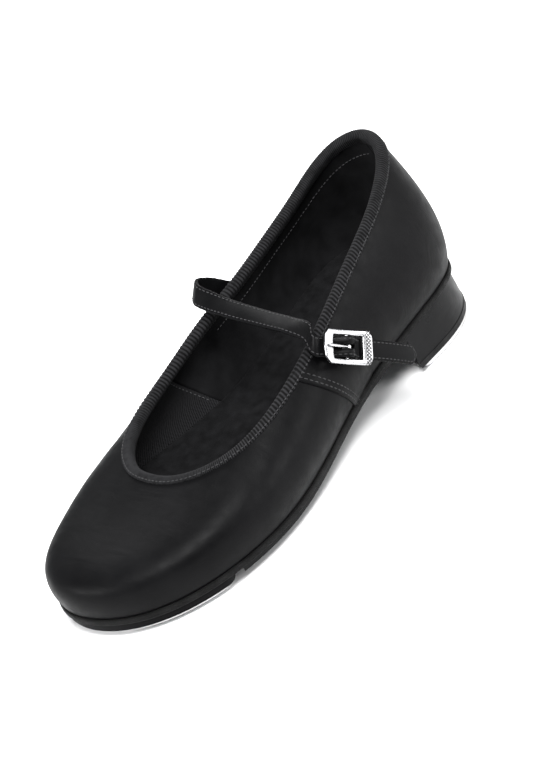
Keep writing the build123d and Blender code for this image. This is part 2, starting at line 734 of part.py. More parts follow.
def make_tail():
    route = tail_route()
    band = ribbon(route, 0, len(route) - 1, STRAP_WIDTH, STRAP_THICKNESS)
    tip = [e for e in band.edges() if e.length < STRAP_THICKNESS * 1.05]
    tip.sort(key=lambda edge: (edge.center() - route[-1][0]).length)
    return solid_of(band.fillet(STRAP_WIDTH / 2 - 0.6, tip[:2]))


def make_frame():
    half = FRAME_LENGTH / 2
    side = STRAP_WIDTH / 2 + WINDOW_CLEARANCE
    outer = side + FRAME_RAIL
    nose = outer * 0.62
    outline = Polyline((-half - 0.6, 0), (-half, nose), (-half + 2.6, outer), (half - 1.2, outer),
                       (half, nose), (half, -nose), (half - 1.2, -outer), (-half + 2.6, -outer),
                       (-half, -nose), close=True)
    sketch = make_face(outline) - Rectangle(WINDOW_LENGTH, 2 * side)
    body = extrude(sketch, FRAME_THICKNESS * 4, both=True)
    radius = (half**2 + FRAME_BOW**2) / (2 * FRAME_BOW)
    ring = Cylinder(radius + FRAME_THICKNESS / 2, 4 * outer, rotation=(90, 0, 0))
    ring -= Cylinder(radius - FRAME_THICKNESS / 2, 4 * outer, rotation=(90, 0, 0))
    body = body & (Pos(0, 0, radius) * ring)
    body -= Cylinder(BAR_DIAMETER / 2 + GRIP_GAP, 2 * (side + BAR_BITE), rotation=(90, 0, 0))
    return solid_of(Buckle.plane * body)


def make_bar():
    length = 2 * (STRAP_WIDTH / 2 + WINDOW_CLEARANCE + BAR_BITE) - 0.1
    return solid_of(Buckle.plane * Cylinder(BAR_DIAMETER / 2, length, rotation=(90, 0, 0)))


def make_prong():
    """Wire tongue that turns on the bar and rests on the end of the buckle."""
    inner = BAR_DIAMETER / 2 + BAR_CLEARANCE
    middle = inner + PRONG_DIAMETER / 2
    loop = Cylinder(inner + PRONG_DIAMETER, PRONG_DIAMETER, rotation=(90, 0, 0))
    loop -= Cylinder(inner, 2 * PRONG_DIAMETER, rotation=(90, 0, 0))
    rest = FRAME_BOW + FRAME_THICKNESS / 2 + PRONG_DIAMETER / 2 + PRONG_REST_GAP
    start = Vector(-0.3, 0, middle)
    tip = Vector(-PRONG_REACH, 0, rest)
    way = (tip - start).normalized()
    wire = Solid.make_cylinder(PRONG_DIAMETER / 2, (tip - start).length, Plane(start, z_dir=way))
    end = Solid.make_sphere(PRONG_DIAMETER / 2, Plane(tip))
    hole = Cylinder(inner, 2 * PRONG_DIAMETER, rotation=(90, 0, 0))
    return solid_of(Buckle.plane * (loop + wire + end - hole))


def make_chape():
    """Leather tab folded round the bar, sewn to the outer quarter under the strap."""
    inner = BAR_DIAMETER / 2 + BAR_CLEARANCE
    outer = inner + CHAPE_THICKNESS
    width = STRAP_WIDTH - 1
    fold = Cylinder(outer, width, rotation=(90, 0, 0))
    legs = 2 * CHAPE_THICKNESS
    reach = FRAME_LENGTH / 2 + CHAPE_SEWN
    drop = STRAP_LOW - STRAP_THICKNESS / 2 - CHAPE_UNDER_STRAP
    knee = Vector(WINDOW_LENGTH / 2 - 1.6, 0, drop - legs / 2)
    heading = Vector(0.8, 0, -outer + legs / 2)
    points = [heading, knee, Vector(reach, 0, knee.Z - CHAPE_SINK)]
    top = [(p.X, p.Z + legs / 2) for p in points]
    low = [(p.X, p.Z - legs / 2) for p in reversed(points)]
    band = extrude(make_face(Polyline(*top, *low, close=True)), width / 2, both=True)
    band = Rot(90, 0, 0) * band
    tab = fold + band - Cylinder(inner, 2 * width, rotation=(90, 0, 0))
    gap = PRONG_DIAMETER + 2 * SLOT_PLAY
    tab -= Box(2 * outer + 3.0, gap, 2 * outer + 3.0)
    return solid_of(Buckle.plane * tab)


def strap_parts():
    return {
        "strap": make_strap(),
        "strap_tail": make_tail(),
        "buckle_frame": make_frame(),
        "buckle_bar": make_bar(),
        "buckle_prong": make_prong(),
        "buckle_chape": make_chape(),
    }


def upper_parts():
    inner = LEATHER + LAYER_GAP
    lining = inner + STIFFENER + LAYER_GAP
    backing = dict(near=inner, far=inner + STIFFENER, lift=LEATHER + BOARD_GAP)
    lined = dict(near=lining, far=lining + LINING, lift=LEATHER + BOARD_GAP)
    leather = dict(near=0.0, far=LEATHER, margin=LASTING_MARGIN)
    toe = block(-BALL_WIDTH, BALL_WIDTH, toe_tip - PUFF_LENGTH, toe_tip + 20, 0, HIGH)
    heel = block(-BALL_WIDTH, BALL_WIDTH, heel_back - 20, heel_back + COUNTER_LENGTH, 0, HIGH)
    vamp = ring_panel(SIDE_SEAM_OUTER, SIDE_SEAM_INNER, **leather)
    vamp_lining = ring_panel(SIDE_SEAM_OUTER, SIDE_SEAM_INNER, **lined)
    return {
        "vamp": vamp,
        "quarter_lateral": ring_panel(0, SIDE_SEAM_OUTER, **leather),
        "quarter_medial": ring_panel(SIDE_SEAM_INNER, STATIONS, **leather),
        "toe_puff": solid_of(
            ring_panel(SIDE_SEAM_OUTER, SIDE_SEAM_INNER, high=PUFF_HEIGHT, **backing) & toe),
        "heel_counter": [solid_of(ring_panel(begin, end, high=COUNTER_HEIGHT, **backing) & heel)
                         for begin, end in ((0, SIDE_SEAM_OUTER), (SIDE_SEAM_INNER, STATIONS))],
        "vamp_lining": vamp_lining,
        "quarter_lining_lateral": ring_panel(0, SIDE_SEAM_OUTER, **lined),
        "quarter_lining_medial": ring_panel(SIDE_SEAM_INNER, STATIONS, **lined),
        "topline_binding": binding(vamp, vamp_lining),
    }


def sole_parts():
    return {
        "insole_board": make_insole_board(),
        "shank": make_shank(),
        "shank_rivets": rivets(),
        "bottom_filler": make_filler(),
        "cushion_pad": make_cushion(),
        "insole_sock": make_sock(),
        "midsole": make_midsole(),
        "outsole": make_outsole(),
        "toe_tap_board": make_tap_board(),
        "toe_tap": make_toe_tap(),
        "toe_tap_screws": [tap_screw(x, s) for x, s in toe_screws],
        "heel_block": make_heel_block(),
        "heel_lift": make_heel_lift(),
        "heel_tap": make_heel_tap(),
        "heel_tap_screws": [tap_screw(x, s) for x, s in heel_screws],
        "heel_nails": driven(heel_nails, NAIL_LENGTH, NAIL_DIAMETER),
        "heel_screw": driven(heel_centre, HEEL_SCREW_LENGTH, HEEL_SCREW_DIAMETER),
    }


def centred(parts):
    """Solids of each part, moved so that the origin lies under the middle of the shoe."""
    solids = {}
    for name, shape in parts.items():
        pieces = shape if isinstance(shape, list) else [shape]
        solids[name] = [solid for piece in pieces for solid in piece.solids()]
    box = Compound([solid for group in solids.values() for solid in group]).bounding_box()
    middle = box.center()
    shift = Location((-middle.X, -middle.Y, 0))
    return {name: [solid.moved(shift) for solid in group] for name, group in solids.items()}


def write_parts(groups):
    os.makedirs("parts", exist_ok=True)
    for name, solids in groups.items():
        whole = solids[0] if len(solids) == 1 else Compound(solids)
        whole.label = name
        export_step(whole, os.path.join("parts", name + ".step"))


write_parts(centred(upper_parts() | sole_parts() | strap_parts()))
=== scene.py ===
import json
from math import cos, pi, radians, sin

import bmesh
import bpy
import numpy as np
from bpy.props import FloatProperty, FloatVectorProperty, PointerProperty
from bpy.types import Operator, Panel, PropertyGroup
from mathutils import Matrix, Vector


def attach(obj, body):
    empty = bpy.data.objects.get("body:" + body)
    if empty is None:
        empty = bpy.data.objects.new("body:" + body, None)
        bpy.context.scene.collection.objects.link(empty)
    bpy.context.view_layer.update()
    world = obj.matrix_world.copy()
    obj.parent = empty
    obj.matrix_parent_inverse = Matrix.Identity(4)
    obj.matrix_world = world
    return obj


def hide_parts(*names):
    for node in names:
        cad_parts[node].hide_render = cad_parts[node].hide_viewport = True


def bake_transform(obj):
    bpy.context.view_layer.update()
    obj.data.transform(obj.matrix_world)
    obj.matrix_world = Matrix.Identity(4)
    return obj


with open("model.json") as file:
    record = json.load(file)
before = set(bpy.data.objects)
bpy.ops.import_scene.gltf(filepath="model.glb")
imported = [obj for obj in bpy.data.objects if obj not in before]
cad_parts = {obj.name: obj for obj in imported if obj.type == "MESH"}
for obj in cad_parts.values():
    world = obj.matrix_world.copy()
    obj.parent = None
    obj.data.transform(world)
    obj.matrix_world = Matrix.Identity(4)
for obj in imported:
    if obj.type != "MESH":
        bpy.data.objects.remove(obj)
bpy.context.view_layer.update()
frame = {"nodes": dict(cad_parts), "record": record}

bl_info = {
    "name": "Tap Shoe",
    "version": (1, 0, 0),
    "blender": (4, 5, 0),
    "location": "View3D > Sidebar > Tap Shoe",
    "description": "Leather upper, strap, stitching, tread and finishes of a tap shoe",
    "category": "Object",
}

MM = 0.001

# ---- the last, in millimetres: x towards the outer side, s from the heel towards the toe, z up ----
# Each row is a station round the foot: sole edge x and s, s of the spine that it looks at, reach of the
# collar from the spine, collar height, rise and outward swell above the sole edge, drop and outward
# swell below the collar.
LAST = np.array([
    (0.0, -26.0, 8, 29.0, 88.0, 21, 7.0, 23, 7.5),
    (18.0, -21.0, 8.5, 27.0, 85.0, 20, 7.0, 22, 8.0),
    (27.0, -6.5, 11, 24.0, 78.5, 17.5, 7.0, 18.5, 8.0),
    (29.5, 13.0, 20.5, 24.0, 71.0, 14.5, 7.5, 15.5, 8.0),
    (30.0, 37.5, 41, 26.5, 63.0, 13, 7.5, 13.5, 8.5),
    (32.0, 63.5, 65, 30.0, 54.5, 12.5, 8.0, 12.5, 9.5),
    (38.5, 93.0, 90, 32.0, 46.0, 13.5, 8.0, 11, 12.0),
    (44.0, 124.0, 104.5, 33.0, 40.5, 15.5, 8.0, 8, 17.5),
    (43.5, 149.0, 110.5, 32.5, 38.5, 18.5, 8.0, 7, 25.0),
    (36.5, 173.0, 112, 32.5, 37.5, 21, 8.0, 9, 34.0),
    (20.5, 193.0, 112.5, 32.5, 37.0, 24, 8.0, 11.5, 40.0),
    (-4.0, 201.0, 112.5, 32.5, 37.0, 25, 8.0, 12.5, 43.0),
    (-24.5, 193.5, 112.5, 33.0, 37.5, 24, 8.0, 11.5, 40.0),
    (-35.5, 175.0, 112, 33.0, 38.0, 22, 8.0, 9.5, 33.0),
    (-39.5, 151.0, 110.5, 33.0, 39.0, 20, 8.0, 7, 25.0),
    (-39.0, 128.5, 106, 33.0, 41.5, 17.5, 8.0, 8, 17.5),
    (-31.5, 102.5, 97, 31.0, 46.5, 15.5, 9.0, 11.5, 13.5),
    (-24.0, 76.5, 76.5, 29.5, 54.0, 13.5, 10.5, 13.5, 10.5),
    (-23.0, 51.0, 55, 28.0, 60.0, 13.5, 10.5, 14.5, 9.5),
    (-26.0, 28.0, 32.5, 26.5, 66.0, 14.5, 9.0, 15.5, 9.0),
    (-28.5, 7.5, 17, 26.5, 71.5, 15.5, 8.0, 16.5, 8.5),
    (-26.5, -8.5, 11, 26.5, 78.5, 17.5, 7.5, 19, 8.0),
    (-18.0, -21.0, 8.5, 27.5, 84.5, 20, 7.0, 22, 8.0),
])
STATIONS = len(LAST)
SEAT_RISE = 16.0
BALL_TOP = 8.9
BALL = 126.0
LEATHER = 1.3
LINING_DEPTH = 2.3               # face of the lining that touches the leather
LINING = 0.8
MIDSOLE = 3.0
OUTSOLE = 2.2
FOOTBED = 7.1                    # top of the sock above the top of the sole
BINDING_WIDTH = 3.8
LINING_SEAM = 12.0               # stitch line of the linings below the rim
SEAM_STEP = 1.6 / 29             # first stitch row off the side seam, in stations
SEAM_OUTER = (5.05, 5.85)        # side seam, station at the sole and at the rim
SEAM_INNER = (16.95, 16.15)
TOE_TIP = 201.0
BREAST = 21.0

# ---- strap and buckle ----
STRAP_WIDTH = 8.4
STRAP_THICKNESS = 1.6
STRAP_STANDOFF = 0.55
FRAME_LENGTH = 23.0
FRAME_THICKNESS = 2.0
FRAME_BOW = 1.4
WINDOW_LENGTH = 14.4
WINDOW_SIDE = 4.8
FRAME_RAIL = 2.1
STRAP_LOW = -1.75
STRAP_HIGH = 2.75
STRAP_LEAD = 2.6
TAIL_START = 1.6
TAIL_LENGTH = 25.0
TAIL_DROOP = 4.0
BUCKLE_STATION = 5.0
BUCKLE_SHARE = 0.72
BUCKLE_STANDOFF = 5.6
BUCKLE_DIP = 41.0
SEWN_END = [(18.65, 0.50), (18.35, 0.64), (18.08, 0.77)]
SEWN_SIDE = (0.1, 0.53, 0.84)
PRONG_SLOT = (6.4, 2.9, 0.95)     # slot before and behind the bar, and half its width
STRAP_OVER = [
    (18, -8.6, 8.0, 0.5, (0.1, 0.53, 0.84)),
    (18, -7.4, 14.3, 4.3, (0.12, 0.5, 0.85)),
    (18, -3.6, 17.6, 4.6, (0.2, 0.55, 0.75)),
    (18, 4.6, 19.0, 3.4, (0.15, 0.8, 0.5)),
    (18, 14.0, 19.6, 2.2, (0.1, 0.95, 0.3)),
    (5, -20.0, 6.0, 4.8, (0.0, 1.0, 0.15)),
    (5, -8.0, 6.4, 4.2, (-0.03, 1.0, 0.15)),
    (5, 1.5, 7.0, 2.6, (-0.12, 0.9, 0.4)),
]


def spline_controls():
    """Controls of the closed cubic splines through the columns of the last."""
    weights = np.zeros((STATIONS, STATIONS))
    for i in range(STATIONS):
        weights[i, i] = 4
        weights[i, i - 1] = 1
        weights[i, (i + 1) % STATIONS] = 1
    return np.linalg.solve(weights, 6 * LAST)


CONTROLS = spline_controls()


def station(place):
    """Columns of the last at places counted in stations."""
    place = np.asarray(place, dtype=float)
    first = np.floor(place).astype(int)
    t = place - first
    weights = ((1 - t) ** 3, 3 * t**3 - 6 * t**2 + 4, -3 * t**3 + 3 * t**2 + 3 * t + 1, t**3)
    return sum(w[..., None] * CONTROLS[(first - 1 + k) % STATIONS] for k, w in enumerate(weights)) / 6


def sole_top(s):
    """Height of the top of the sole, from the ball up to the heel seat."""
    t = np.clip((BALL - s) / (BALL + 9), 0, 1)
    return BALL_TOP + SEAT_RISE * t * t * (3 - 2 * t)


def skin(place, share, depth=0.0):
    """Points of a layer of the upper that lies depth inside the leather."""
    place, share, depth = np.broadcast_arrays(place, share, depth)
    x, s, spine, reach, top, rise, swell, drop, top_swell = np.moveaxis(station(place), -1, 0)
    edge = np.hypot(x, s - spine)
    low = sole_top(s)
    low_length, top_length = np.hypot(swell, rise), np.hypot(top_swell, drop)
    start = np.stack([edge - depth * low_length / rise, low], -1)
    end = np.stack([reach - depth * drop / top_length, top - depth * top_swell / top_length], -1)
    whole = np.hypot(edge - reach, top - low)
    shrink = (np.hypot(*np.moveaxis(start - end, -1, 0)) / whole)[..., None]
    second = start + np.stack([swell, rise], -1) * shrink
    third = end + np.stack([top_swell, -drop], -1) * shrink
    t = share[..., None]
    point = start * (1 - t) ** 3 + 3 * second * (1 - t) ** 2 * t + 3 * third * (1 - t) * t**2 + end * t**3
    scale = point[..., 0] / edge
    return np.stack([scale * x, -(spine + scale * (s - spine)), point[..., 1]], -1)


def skin_normal(place, share):
    """Outward normals of the leather."""
    step = 0.01
    share = np.asarray(share, dtype=float)
    along = skin(place + step, share) - skin(place - step, share)
    up = skin(place, share + step) - skin(place, share - step)
    return unit(np.cross(up, along))


def unit(v):
    """The same directions at length one."""
    return v / np.linalg.norm(v, axis=-1, keepdims=True)


def edge_points(place, inset, height):
    """Points beside the sole edge in plan, at a height above the top of the sole."""
    step = 0.01
    here = station(place)
    run = station(place + step)[..., :2] - station(place - step)[..., :2]
    length = np.hypot(run[..., 0], run[..., 1])
    x = here[..., 0] - inset * run[..., 1] / length
    s = here[..., 1] + inset * run[..., 0] / length
    return np.stack([x, -s, sole_top(s) + height], -1)


def turned(v, axis, degrees):
    """A direction turned about an axis."""
    return np.array(Matrix.Rotation(radians(degrees), 3, Vector(axis)) @ Vector(v))


FACE = skin_normal(np.array(BUCKLE_STATION), BUCKLE_SHARE)
LONG_WAY = turned(unit(np.cross((0, 0, 1), FACE)), FACE, -BUCKLE_DIP)
CROSS_WAY = np.cross(FACE, LONG_WAY)
BAR = skin(BUCKLE_STATION, BUCKLE_SHARE) + FACE * BUCKLE_STANDOFF
JOINTS = {joint["name"]: joint for joint in frame["record"]["behaviour"]["joints"]}
SHIFT = np.array(JOINTS["buckle_rock"]["pos_m"]) / MM - BAR      # the last's place in the frame


def placed(points):
    """Frame coordinates in metres of points given on the last."""
    return (np.asarray(points) + SHIFT) * MM


def at_buckle(along, rise, across=0.0):
    """Point along, above and across the bar of the buckle."""
    return BAR + LONG_WAY * along + FACE * rise + CROSS_WAY * across


# ---- mesh tools ----
def mesh_object(name, points, faces, uvs=None):
    """Object from points on the last; uvs holds one pair for each point."""
    mesh = bpy.data.meshes.new(name)
    mesh.from_pydata([tuple(p) for p in placed(points)], [], faces)
    if uvs is not None:
        layer = mesh.uv_layers.new(name="surface")
        index = np.empty(len(mesh.loops), dtype=np.int32)
        mesh.loops.foreach_get("vertex_index", index)
        layer.data.foreach_set("uv", np.asarray(uvs, dtype=np.float32)[index].ravel())
    obj = bpy.data.objects.new(name, mesh)
    bpy.context.scene.collection.objects.link(obj)
    return obj


def tidied(obj, outward=True):
    """The object with doubles merged, faces outwards and smooth."""
    work = bmesh.new()
    work.from_mesh(obj.data)
    bmesh.ops.remove_doubles(work, verts=work.verts, dist=1e-6)
    if outward:
        bmesh.ops.recalc_face_normals(work, faces=work.faces)
    for face in work.faces:
        face.smooth = True
    work.to_mesh(obj.data)
    work.free()
    return obj


def grid_faces(rows, columns, first=0, closed_rows=False, closed_columns=False, flip=False):
    """Four-sided faces of a grid of points, which may close on itself either way."""
    faces = []
    for i in range(rows if closed_rows else rows - 1):
        for j in range(columns if closed_columns else columns - 1):
            a = first + i * columns + j
            b = first + i * columns + (j + 1) % columns
            c = first + ((i + 1) % rows) * columns + (j + 1) % columns
            d = first + ((i + 1) % rows) * columns + j
            faces.append((a, d, c, b) if flip else (a, b, c, d))
    return faces


def shell(name, outer, inner, uv):
    """Closed sheet between two grids of points."""
    rows, columns = outer.shape[:2]
    count = rows * columns
    faces = grid_faces(rows, columns) + grid_faces(rows, columns, count, flip=True)
    rim = [i * columns for i in range(rows)]
    rim += [(rows - 1) * columns + j for j in range(1, columns)]
    rim += [i * columns + columns - 1 for i in range(rows - 2, -1, -1)]
    rim += list(range(columns - 2, 0, -1))
    for a, b in zip(rim, rim[1:] + rim[:1]):
        faces.append((a, b, b + count, a + count))
    points = np.concatenate([outer.reshape(-1, 3), inner.reshape(-1, 3)])
    flat = uv.reshape(-1, 2)
    return tidied(mesh_object(name, points, faces, np.concatenate([flat, flat])))


def tube(name, sections, uv_along, closed):
    """Closed skin round a row of sections, each a ring of points."""
    rows, columns = sections.shape[:2]
    faces = grid_faces(rows, columns, closed_rows=closed, closed_columns=True)
    if not closed:
        faces.append(tuple(range(columns)))
        faces.append(tuple((rows - 1) * columns + j for j in range(columns - 1, -1, -1)))
    across = np.linspace(0, 1, columns)
    uv = np.stack(np.broadcast_arrays(uv_along[:, None], across[None, :]), -1)
    return tidied(mesh_object(name, sections.reshape(-1, 3), faces, uv.reshape(-1, 2)))


def lengths(points):
    """Distance along a row of points."""
    steps = np.linalg.norm(np.diff(points, axis=0), axis=1)
    return np.concatenate([[0], np.cumsum(steps)])


def spaced(points, pitch):
    """The same line with points one pitch apart."""
    distance = lengths(points)
    count = max(2, int(distance[-1] / pitch))
    where = np.linspace(0, distance[-1], count)
    return np.stack([np.interp(where, distance, points[:, k]) for k in range(3)], -1)


def finish(obj, material, body, slot, *nodes):
    """Gives a piece its material and its body, and hides the parts that it stands for; slot is not used."""
    obj.data.materials.clear()
    obj.data.materials.append(material)
    if body:
        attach(obj, body)
    if nodes:
        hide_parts(*nodes)
    return obj


# ---- materials ----
class Finish:
    """A node material under construction."""

    def __init__(self, name, colour, roughness, metallic=0.0):
        self.material = bpy.data.materials.new(name)
        self.material.use_nodes = True
        self.nodes = self.material.node_tree.nodes
        self.links = self.material.node_tree.links
        self.shader = self.nodes["Principled BSDF"]
        self.shader.inputs["Base Color"].default_value = (*colour, 1)
        self.shader.inputs["Roughness"].default_value = roughness
        self.shader.inputs["Metallic"].default_value = metallic
        self.coordinates = self.nodes.new("ShaderNodeTexCoord")
        self.colour = colour
        self.roughness = roughness
        self.relief = None

    def put(self, **values):
        for name, value in values.items():
            self.shader.inputs[name.replace("_", " ")].default_value = value

    def mapped(self, space, scale, turn=(0, 0, 0)):
        node = self.nodes.new("ShaderNodeMapping")
        node.inputs["Scale"].default_value = scale
        node.inputs["Rotation"].default_value = turn
        self.links.new(self.coordinates.outputs[space], node.inputs["Vector"])
        return node.outputs["Vector"]

    def noise(self, vector, scale, detail=4.0, distortion=0.0):
        node = self.nodes.new("ShaderNodeTexNoise")
        node.inputs["Scale"].default_value = scale
        node.inputs["Detail"].default_value = detail
        node.inputs["Distortion"].default_value = distortion
        self.links.new(vector, node.inputs["Vector"])
        return node.outputs["Fac"]

    def cells(self, vector, scale, feature="DISTANCE_TO_EDGE"):
        node = self.nodes.new("ShaderNodeTexVoronoi")
        node.feature = feature
        node.inputs["Scale"].default_value = scale
        self.links.new(vector, node.inputs["Vector"])
        return node.outputs["Distance"]

    def bands(self, vector, scale, direction="X", distortion=0.0):
        node = self.nodes.new("ShaderNodeTexWave")
        node.bands_direction = direction
        node.inputs["Scale"].default_value = scale
        node.inputs["Distortion"].default_value = distortion
        self.links.new(vector, node.inputs["Vector"])
        return node.outputs["Fac"]

    def maths(self, operation, a, b):
        node = self.nodes.new("ShaderNodeMath")
        node.operation = operation
        for socket, value in zip(node.inputs, (a, b)):
            if isinstance(value, (int, float)):
                socket.default_value = value
            else:
                self.links.new(value, socket)
        return node.outputs["Value"]

    def ramp(self, value, stops):
        node = self.nodes.new("ShaderNodeValToRGB")
        elements = node.color_ramp.elements
        for element, (place, colour) in zip(elements, stops[:2]):
            element.position = place
            element.color = (*colour, 1)
        for place, colour in stops[2:]:
            elements.new(place).color = (*colour, 1)
        self.links.new(value, node.inputs["Fac"])
        return node.outputs["Color"]

    def span(self, value, low, high, before=0.0, after=1.0):
        node = self.nodes.new("ShaderNodeMapRange")
        node.inputs["From Min"].default_value = before
        node.inputs["From Max"].default_value = after
        node.inputs["To Min"].default_value = low
        node.inputs["To Max"].default_value = high
        self.links.new(value, node.inputs["Value"])
        return node.outputs["Result"]

    def shade(self, value, dark=0.7, light=1.3):
        """Base colour that varies with a value."""
        low = tuple(c * dark for c in self.colour)
        high = tuple(min(c * light, 1.0) for c in self.colour)
        self.links.new(self.ramp(value, [(0.3, low), (0.7, high)]), self.shader.inputs["Base Color"])

    def gloss(self, value, low, high):
        self.links.new(self.span(value, low, high, 0.3, 0.7), self.shader.inputs["Roughness"])

    def bump(self, height, distance, strength=1.0):
        node = self.nodes.new("ShaderNodeBump")
        node.inputs["Distance"].default_value = distance
        node.inputs["Strength"].default_value = strength
        self.links.new(height, node.inputs["Height"])
        if self.relief is not None:
            self.links.new(self.relief, node.inputs["Normal"])
        self.relief = node.outputs["Normal"]
        self.links.new(self.relief, self.shader.inputs["Normal"])


MATERIALS = {}


def leather(name, settings, grain=1.0, creases=True):
    """Black leather with fine grain, soft creases and uneven polish."""
    made = Finish(name, settings.colour, settings.roughness)
    space = made.mapped("Object", (1, 1, 1))
    made.put(Specular_IOR_Level=0.055)
    broad = made.noise(space, 38, 3)
    made.shade(broad, 0.75, 1.35)
    made.gloss(made.noise(space, 160, 6), settings.roughness - 0.07, settings.roughness + 0.09)
    if creases:
        stretched = made.mapped("Object", (0.35, 1.0, 0.8), (0.3, 0.2, 0.5))
        made.bump(made.noise(stretched, 110, 3, 1.4), 0.0011, settings.creases)
    made.bump(made.cells(space, settings.grain / 0.001 * grain), 0.00012, 0.35)
    made.bump(made.noise(space, 2600 * grain, 4), 0.00008, 0.4)
    return made.material


def grosgrain(name, colour):
    """Ribbed tape with painted shade in its grooves and painted highlight on its ribs; the surface's first
    coordinate counts the ribs.
    """
    made = Finish(name, colour, 0.72)
    made.put(Sheen_Weight=0.02, Sheen_Roughness=0.5, Specular_IOR_Level=0.06)
    along = made.nodes.new("ShaderNodeSeparateXYZ")
    made.links.new(made.mapped("UV", (2 * pi, 1, 1)), along.inputs[0])
    # Painted rib light: dark grooves and pale ribs, with the ribs' brightness varied by random tone.
    ribs = made.span(made.maths("COSINE", along.outputs["X"], 0.0), 0, 1, -1, 1)
    space = made.mapped("Object", (1, 1, 1))
    rib_shade_and_tone = made.maths("MULTIPLY", ribs, made.span(made.noise(space, 420, 4), 0.55, 1.3, 0.3, 0.7))
    low, high = tuple(c * 0.3 for c in colour), tuple(c * 3.0 for c in colour)
    made.links.new(made.ramp(rib_shade_and_tone, [(0.15, low), (0.85, high)]), made.shader.inputs["Base Color"])
    made.bump(made.noise(space, 5200, 3), 0.00012, 0.6)
    return made.material


def cloth(name, colour, scale, roughness=0.85, space_name="Object", depth=0.0002):
    """Plain weave: threads that cross at right angles."""
    made = Finish(name, colour, roughness)
    made.put(Sheen_Weight=0.012, Sheen_Roughness=0.5, Specular_IOR_Level=0.05)
    space = made.mapped(space_name, (scale, scale, scale), (0, 0, 0.0))
    threads = made.maths("MULTIPLY", made.bands(space, 1.0, "X", 0.4), made.bands(space, 1.0, "Y", 0.4))
    made.shade(made.noise(made.mapped("Object", (1, 1, 1)), 240, 6), 0.6, 1.6)
    made.bump(threads, depth, 0.8)
    made.bump(made.noise(made.mapped("Object", (1, 1, 1)), 4200, 3), 0.0001, 0.4)
    return made.material


def open_mesh(name, colour, pitch):
    """Knitted mesh with rows of small holes."""
    made = Finish(name, colour, 0.8)
    made.put(Sheen_Weight=0.012, Sheen_Roughness=0.5, Specular_IOR_Level=0.05)
    space = made.mapped("UV", (1 / pitch, 1 / pitch, 1), (0, 0, pi / 4))
    holes = made.maths("MULTIPLY", made.bands(space, 0.5, "X"), made.bands(space, 0.5, "Y"))
    high = tuple(c * 2.4 for c in colour)
    made.links.new(made.ramp(holes, [(0.32, high), (0.5, (0.002, 0.002, 0.002))]),
                   made.shader.inputs["Base Color"])
    made.bump(made.span(holes, 1, 0), 0.0005, 0.8)
    return made.material


def suede(name, colour):
    """Brushed leather with soft, uneven nap."""
    made = Finish(name, colour, 0.78)
    made.put(Sheen_Weight=0.012, Sheen_Roughness=0.5, Specular_IOR_Level=0.05)
    space = made.mapped("Object", (1, 1, 1))
    made.shade(made.noise(space, 95, 6), 0.6, 1.5)
    made.bump(made.noise(space, 3600, 5), 0.00015, 0.6)
    made.bump(made.noise(space, 130, 2), 0.0005, 0.25)
    return made.material


def rubber(name, colour, roughness, knurl=0.0):
    """Black rubber; knurl gives the pitch of a diamond pattern on its surface."""
    made = Finish(name, colour, roughness)
    made.put(Specular_IOR_Level=0.09)
    space = made.mapped("Object", (1, 1, 1))
    made.shade(made.noise(space, 120, 5), 0.65, 1.6)
    made.gloss(made.noise(space, 300, 5), roughness - 0.08, roughness + 0.1)
    if knurl:
        side = made.mapped("UV", (1 / knurl, 1 / knurl, 1), (0, 0, pi / 4))
        both = made.maths("MULTIPLY", made.bands(side, 0.5, "X"), made.bands(side, 0.5, "Y"))
        made.bump(both, 0.0007, 0.9)
    made.bump(made.noise(space, 2400, 4), 0.0001, 0.35)
    return made.material


def satin_metal(name, colour, roughness, brushed=(1, 1, 1), scratches=0.4):
    """Metal with fine scratches that run the way it was brushed."""
    made = Finish(name, colour, roughness, 1.0)
    space = made.mapped("Object", (1, 1, 1))
    made.shade(made.noise(space, 60, 4), 0.9, 1.08)
    lines = made.mapped("Object", brushed)
    made.gloss(made.noise(lines, 900, 6), roughness - 0.06, roughness + 0.12)
    made.bump(made.noise(lines, 1500, 4), 0.00004, scratches)
    return made


def tap_grime_and_dish_shade(name, settings, screws):
    """Tap metal with random grime spots, and painted shade that darkens the dish round each screw."""
    made = satin_metal(name, settings.tap_colour, settings.tap_roughness, (0.25, 1.6, 1), 0.5)
    nearest = None
    for x, y in screws:
        node = made.nodes.new("ShaderNodeVectorMath")
        node.operation = "DISTANCE"
        flat = made.mapped("Object", (1, 1, 0))
        made.links.new(flat, node.inputs[0])
        node.inputs[1].default_value = (x, y, 0)
        distance = node.outputs["Value"]
        nearest = distance if nearest is None else made.maths("MINIMUM", nearest, distance)
    bright = made.colour
    # Painted shade: the base colour drops to about a quarter in the dish round each screw.
    stops = [(0.0, tuple(c * 0.22 for c in bright)), (0.0042 / 0.01, tuple(c * 0.3 for c in bright))]
    stops += [(0.00465 / 0.01, bright)]
    ring = made.ramp(made.span(nearest, 0, 1, 0.0, 0.01), stops)
    spots = made.noise(made.mapped("Object", (1, 1, 1)), 75, 6)
    grime = made.ramp(spots, [(0.35, (0.8, 0.79, 0.77)), (0.6, (1, 1, 1))])
    mix = made.nodes.new("ShaderNodeMix")
    mix.data_type = "RGBA"
    mix.blend_type = "MULTIPLY"
    mix.inputs["Factor"].default_value = 1.0
    made.links.new(ring, mix.inputs[6])
    made.links.new(grime, mix.inputs[7])
    made.links.new(mix.outputs[2], made.shader.inputs["Base Color"])
    return made.material


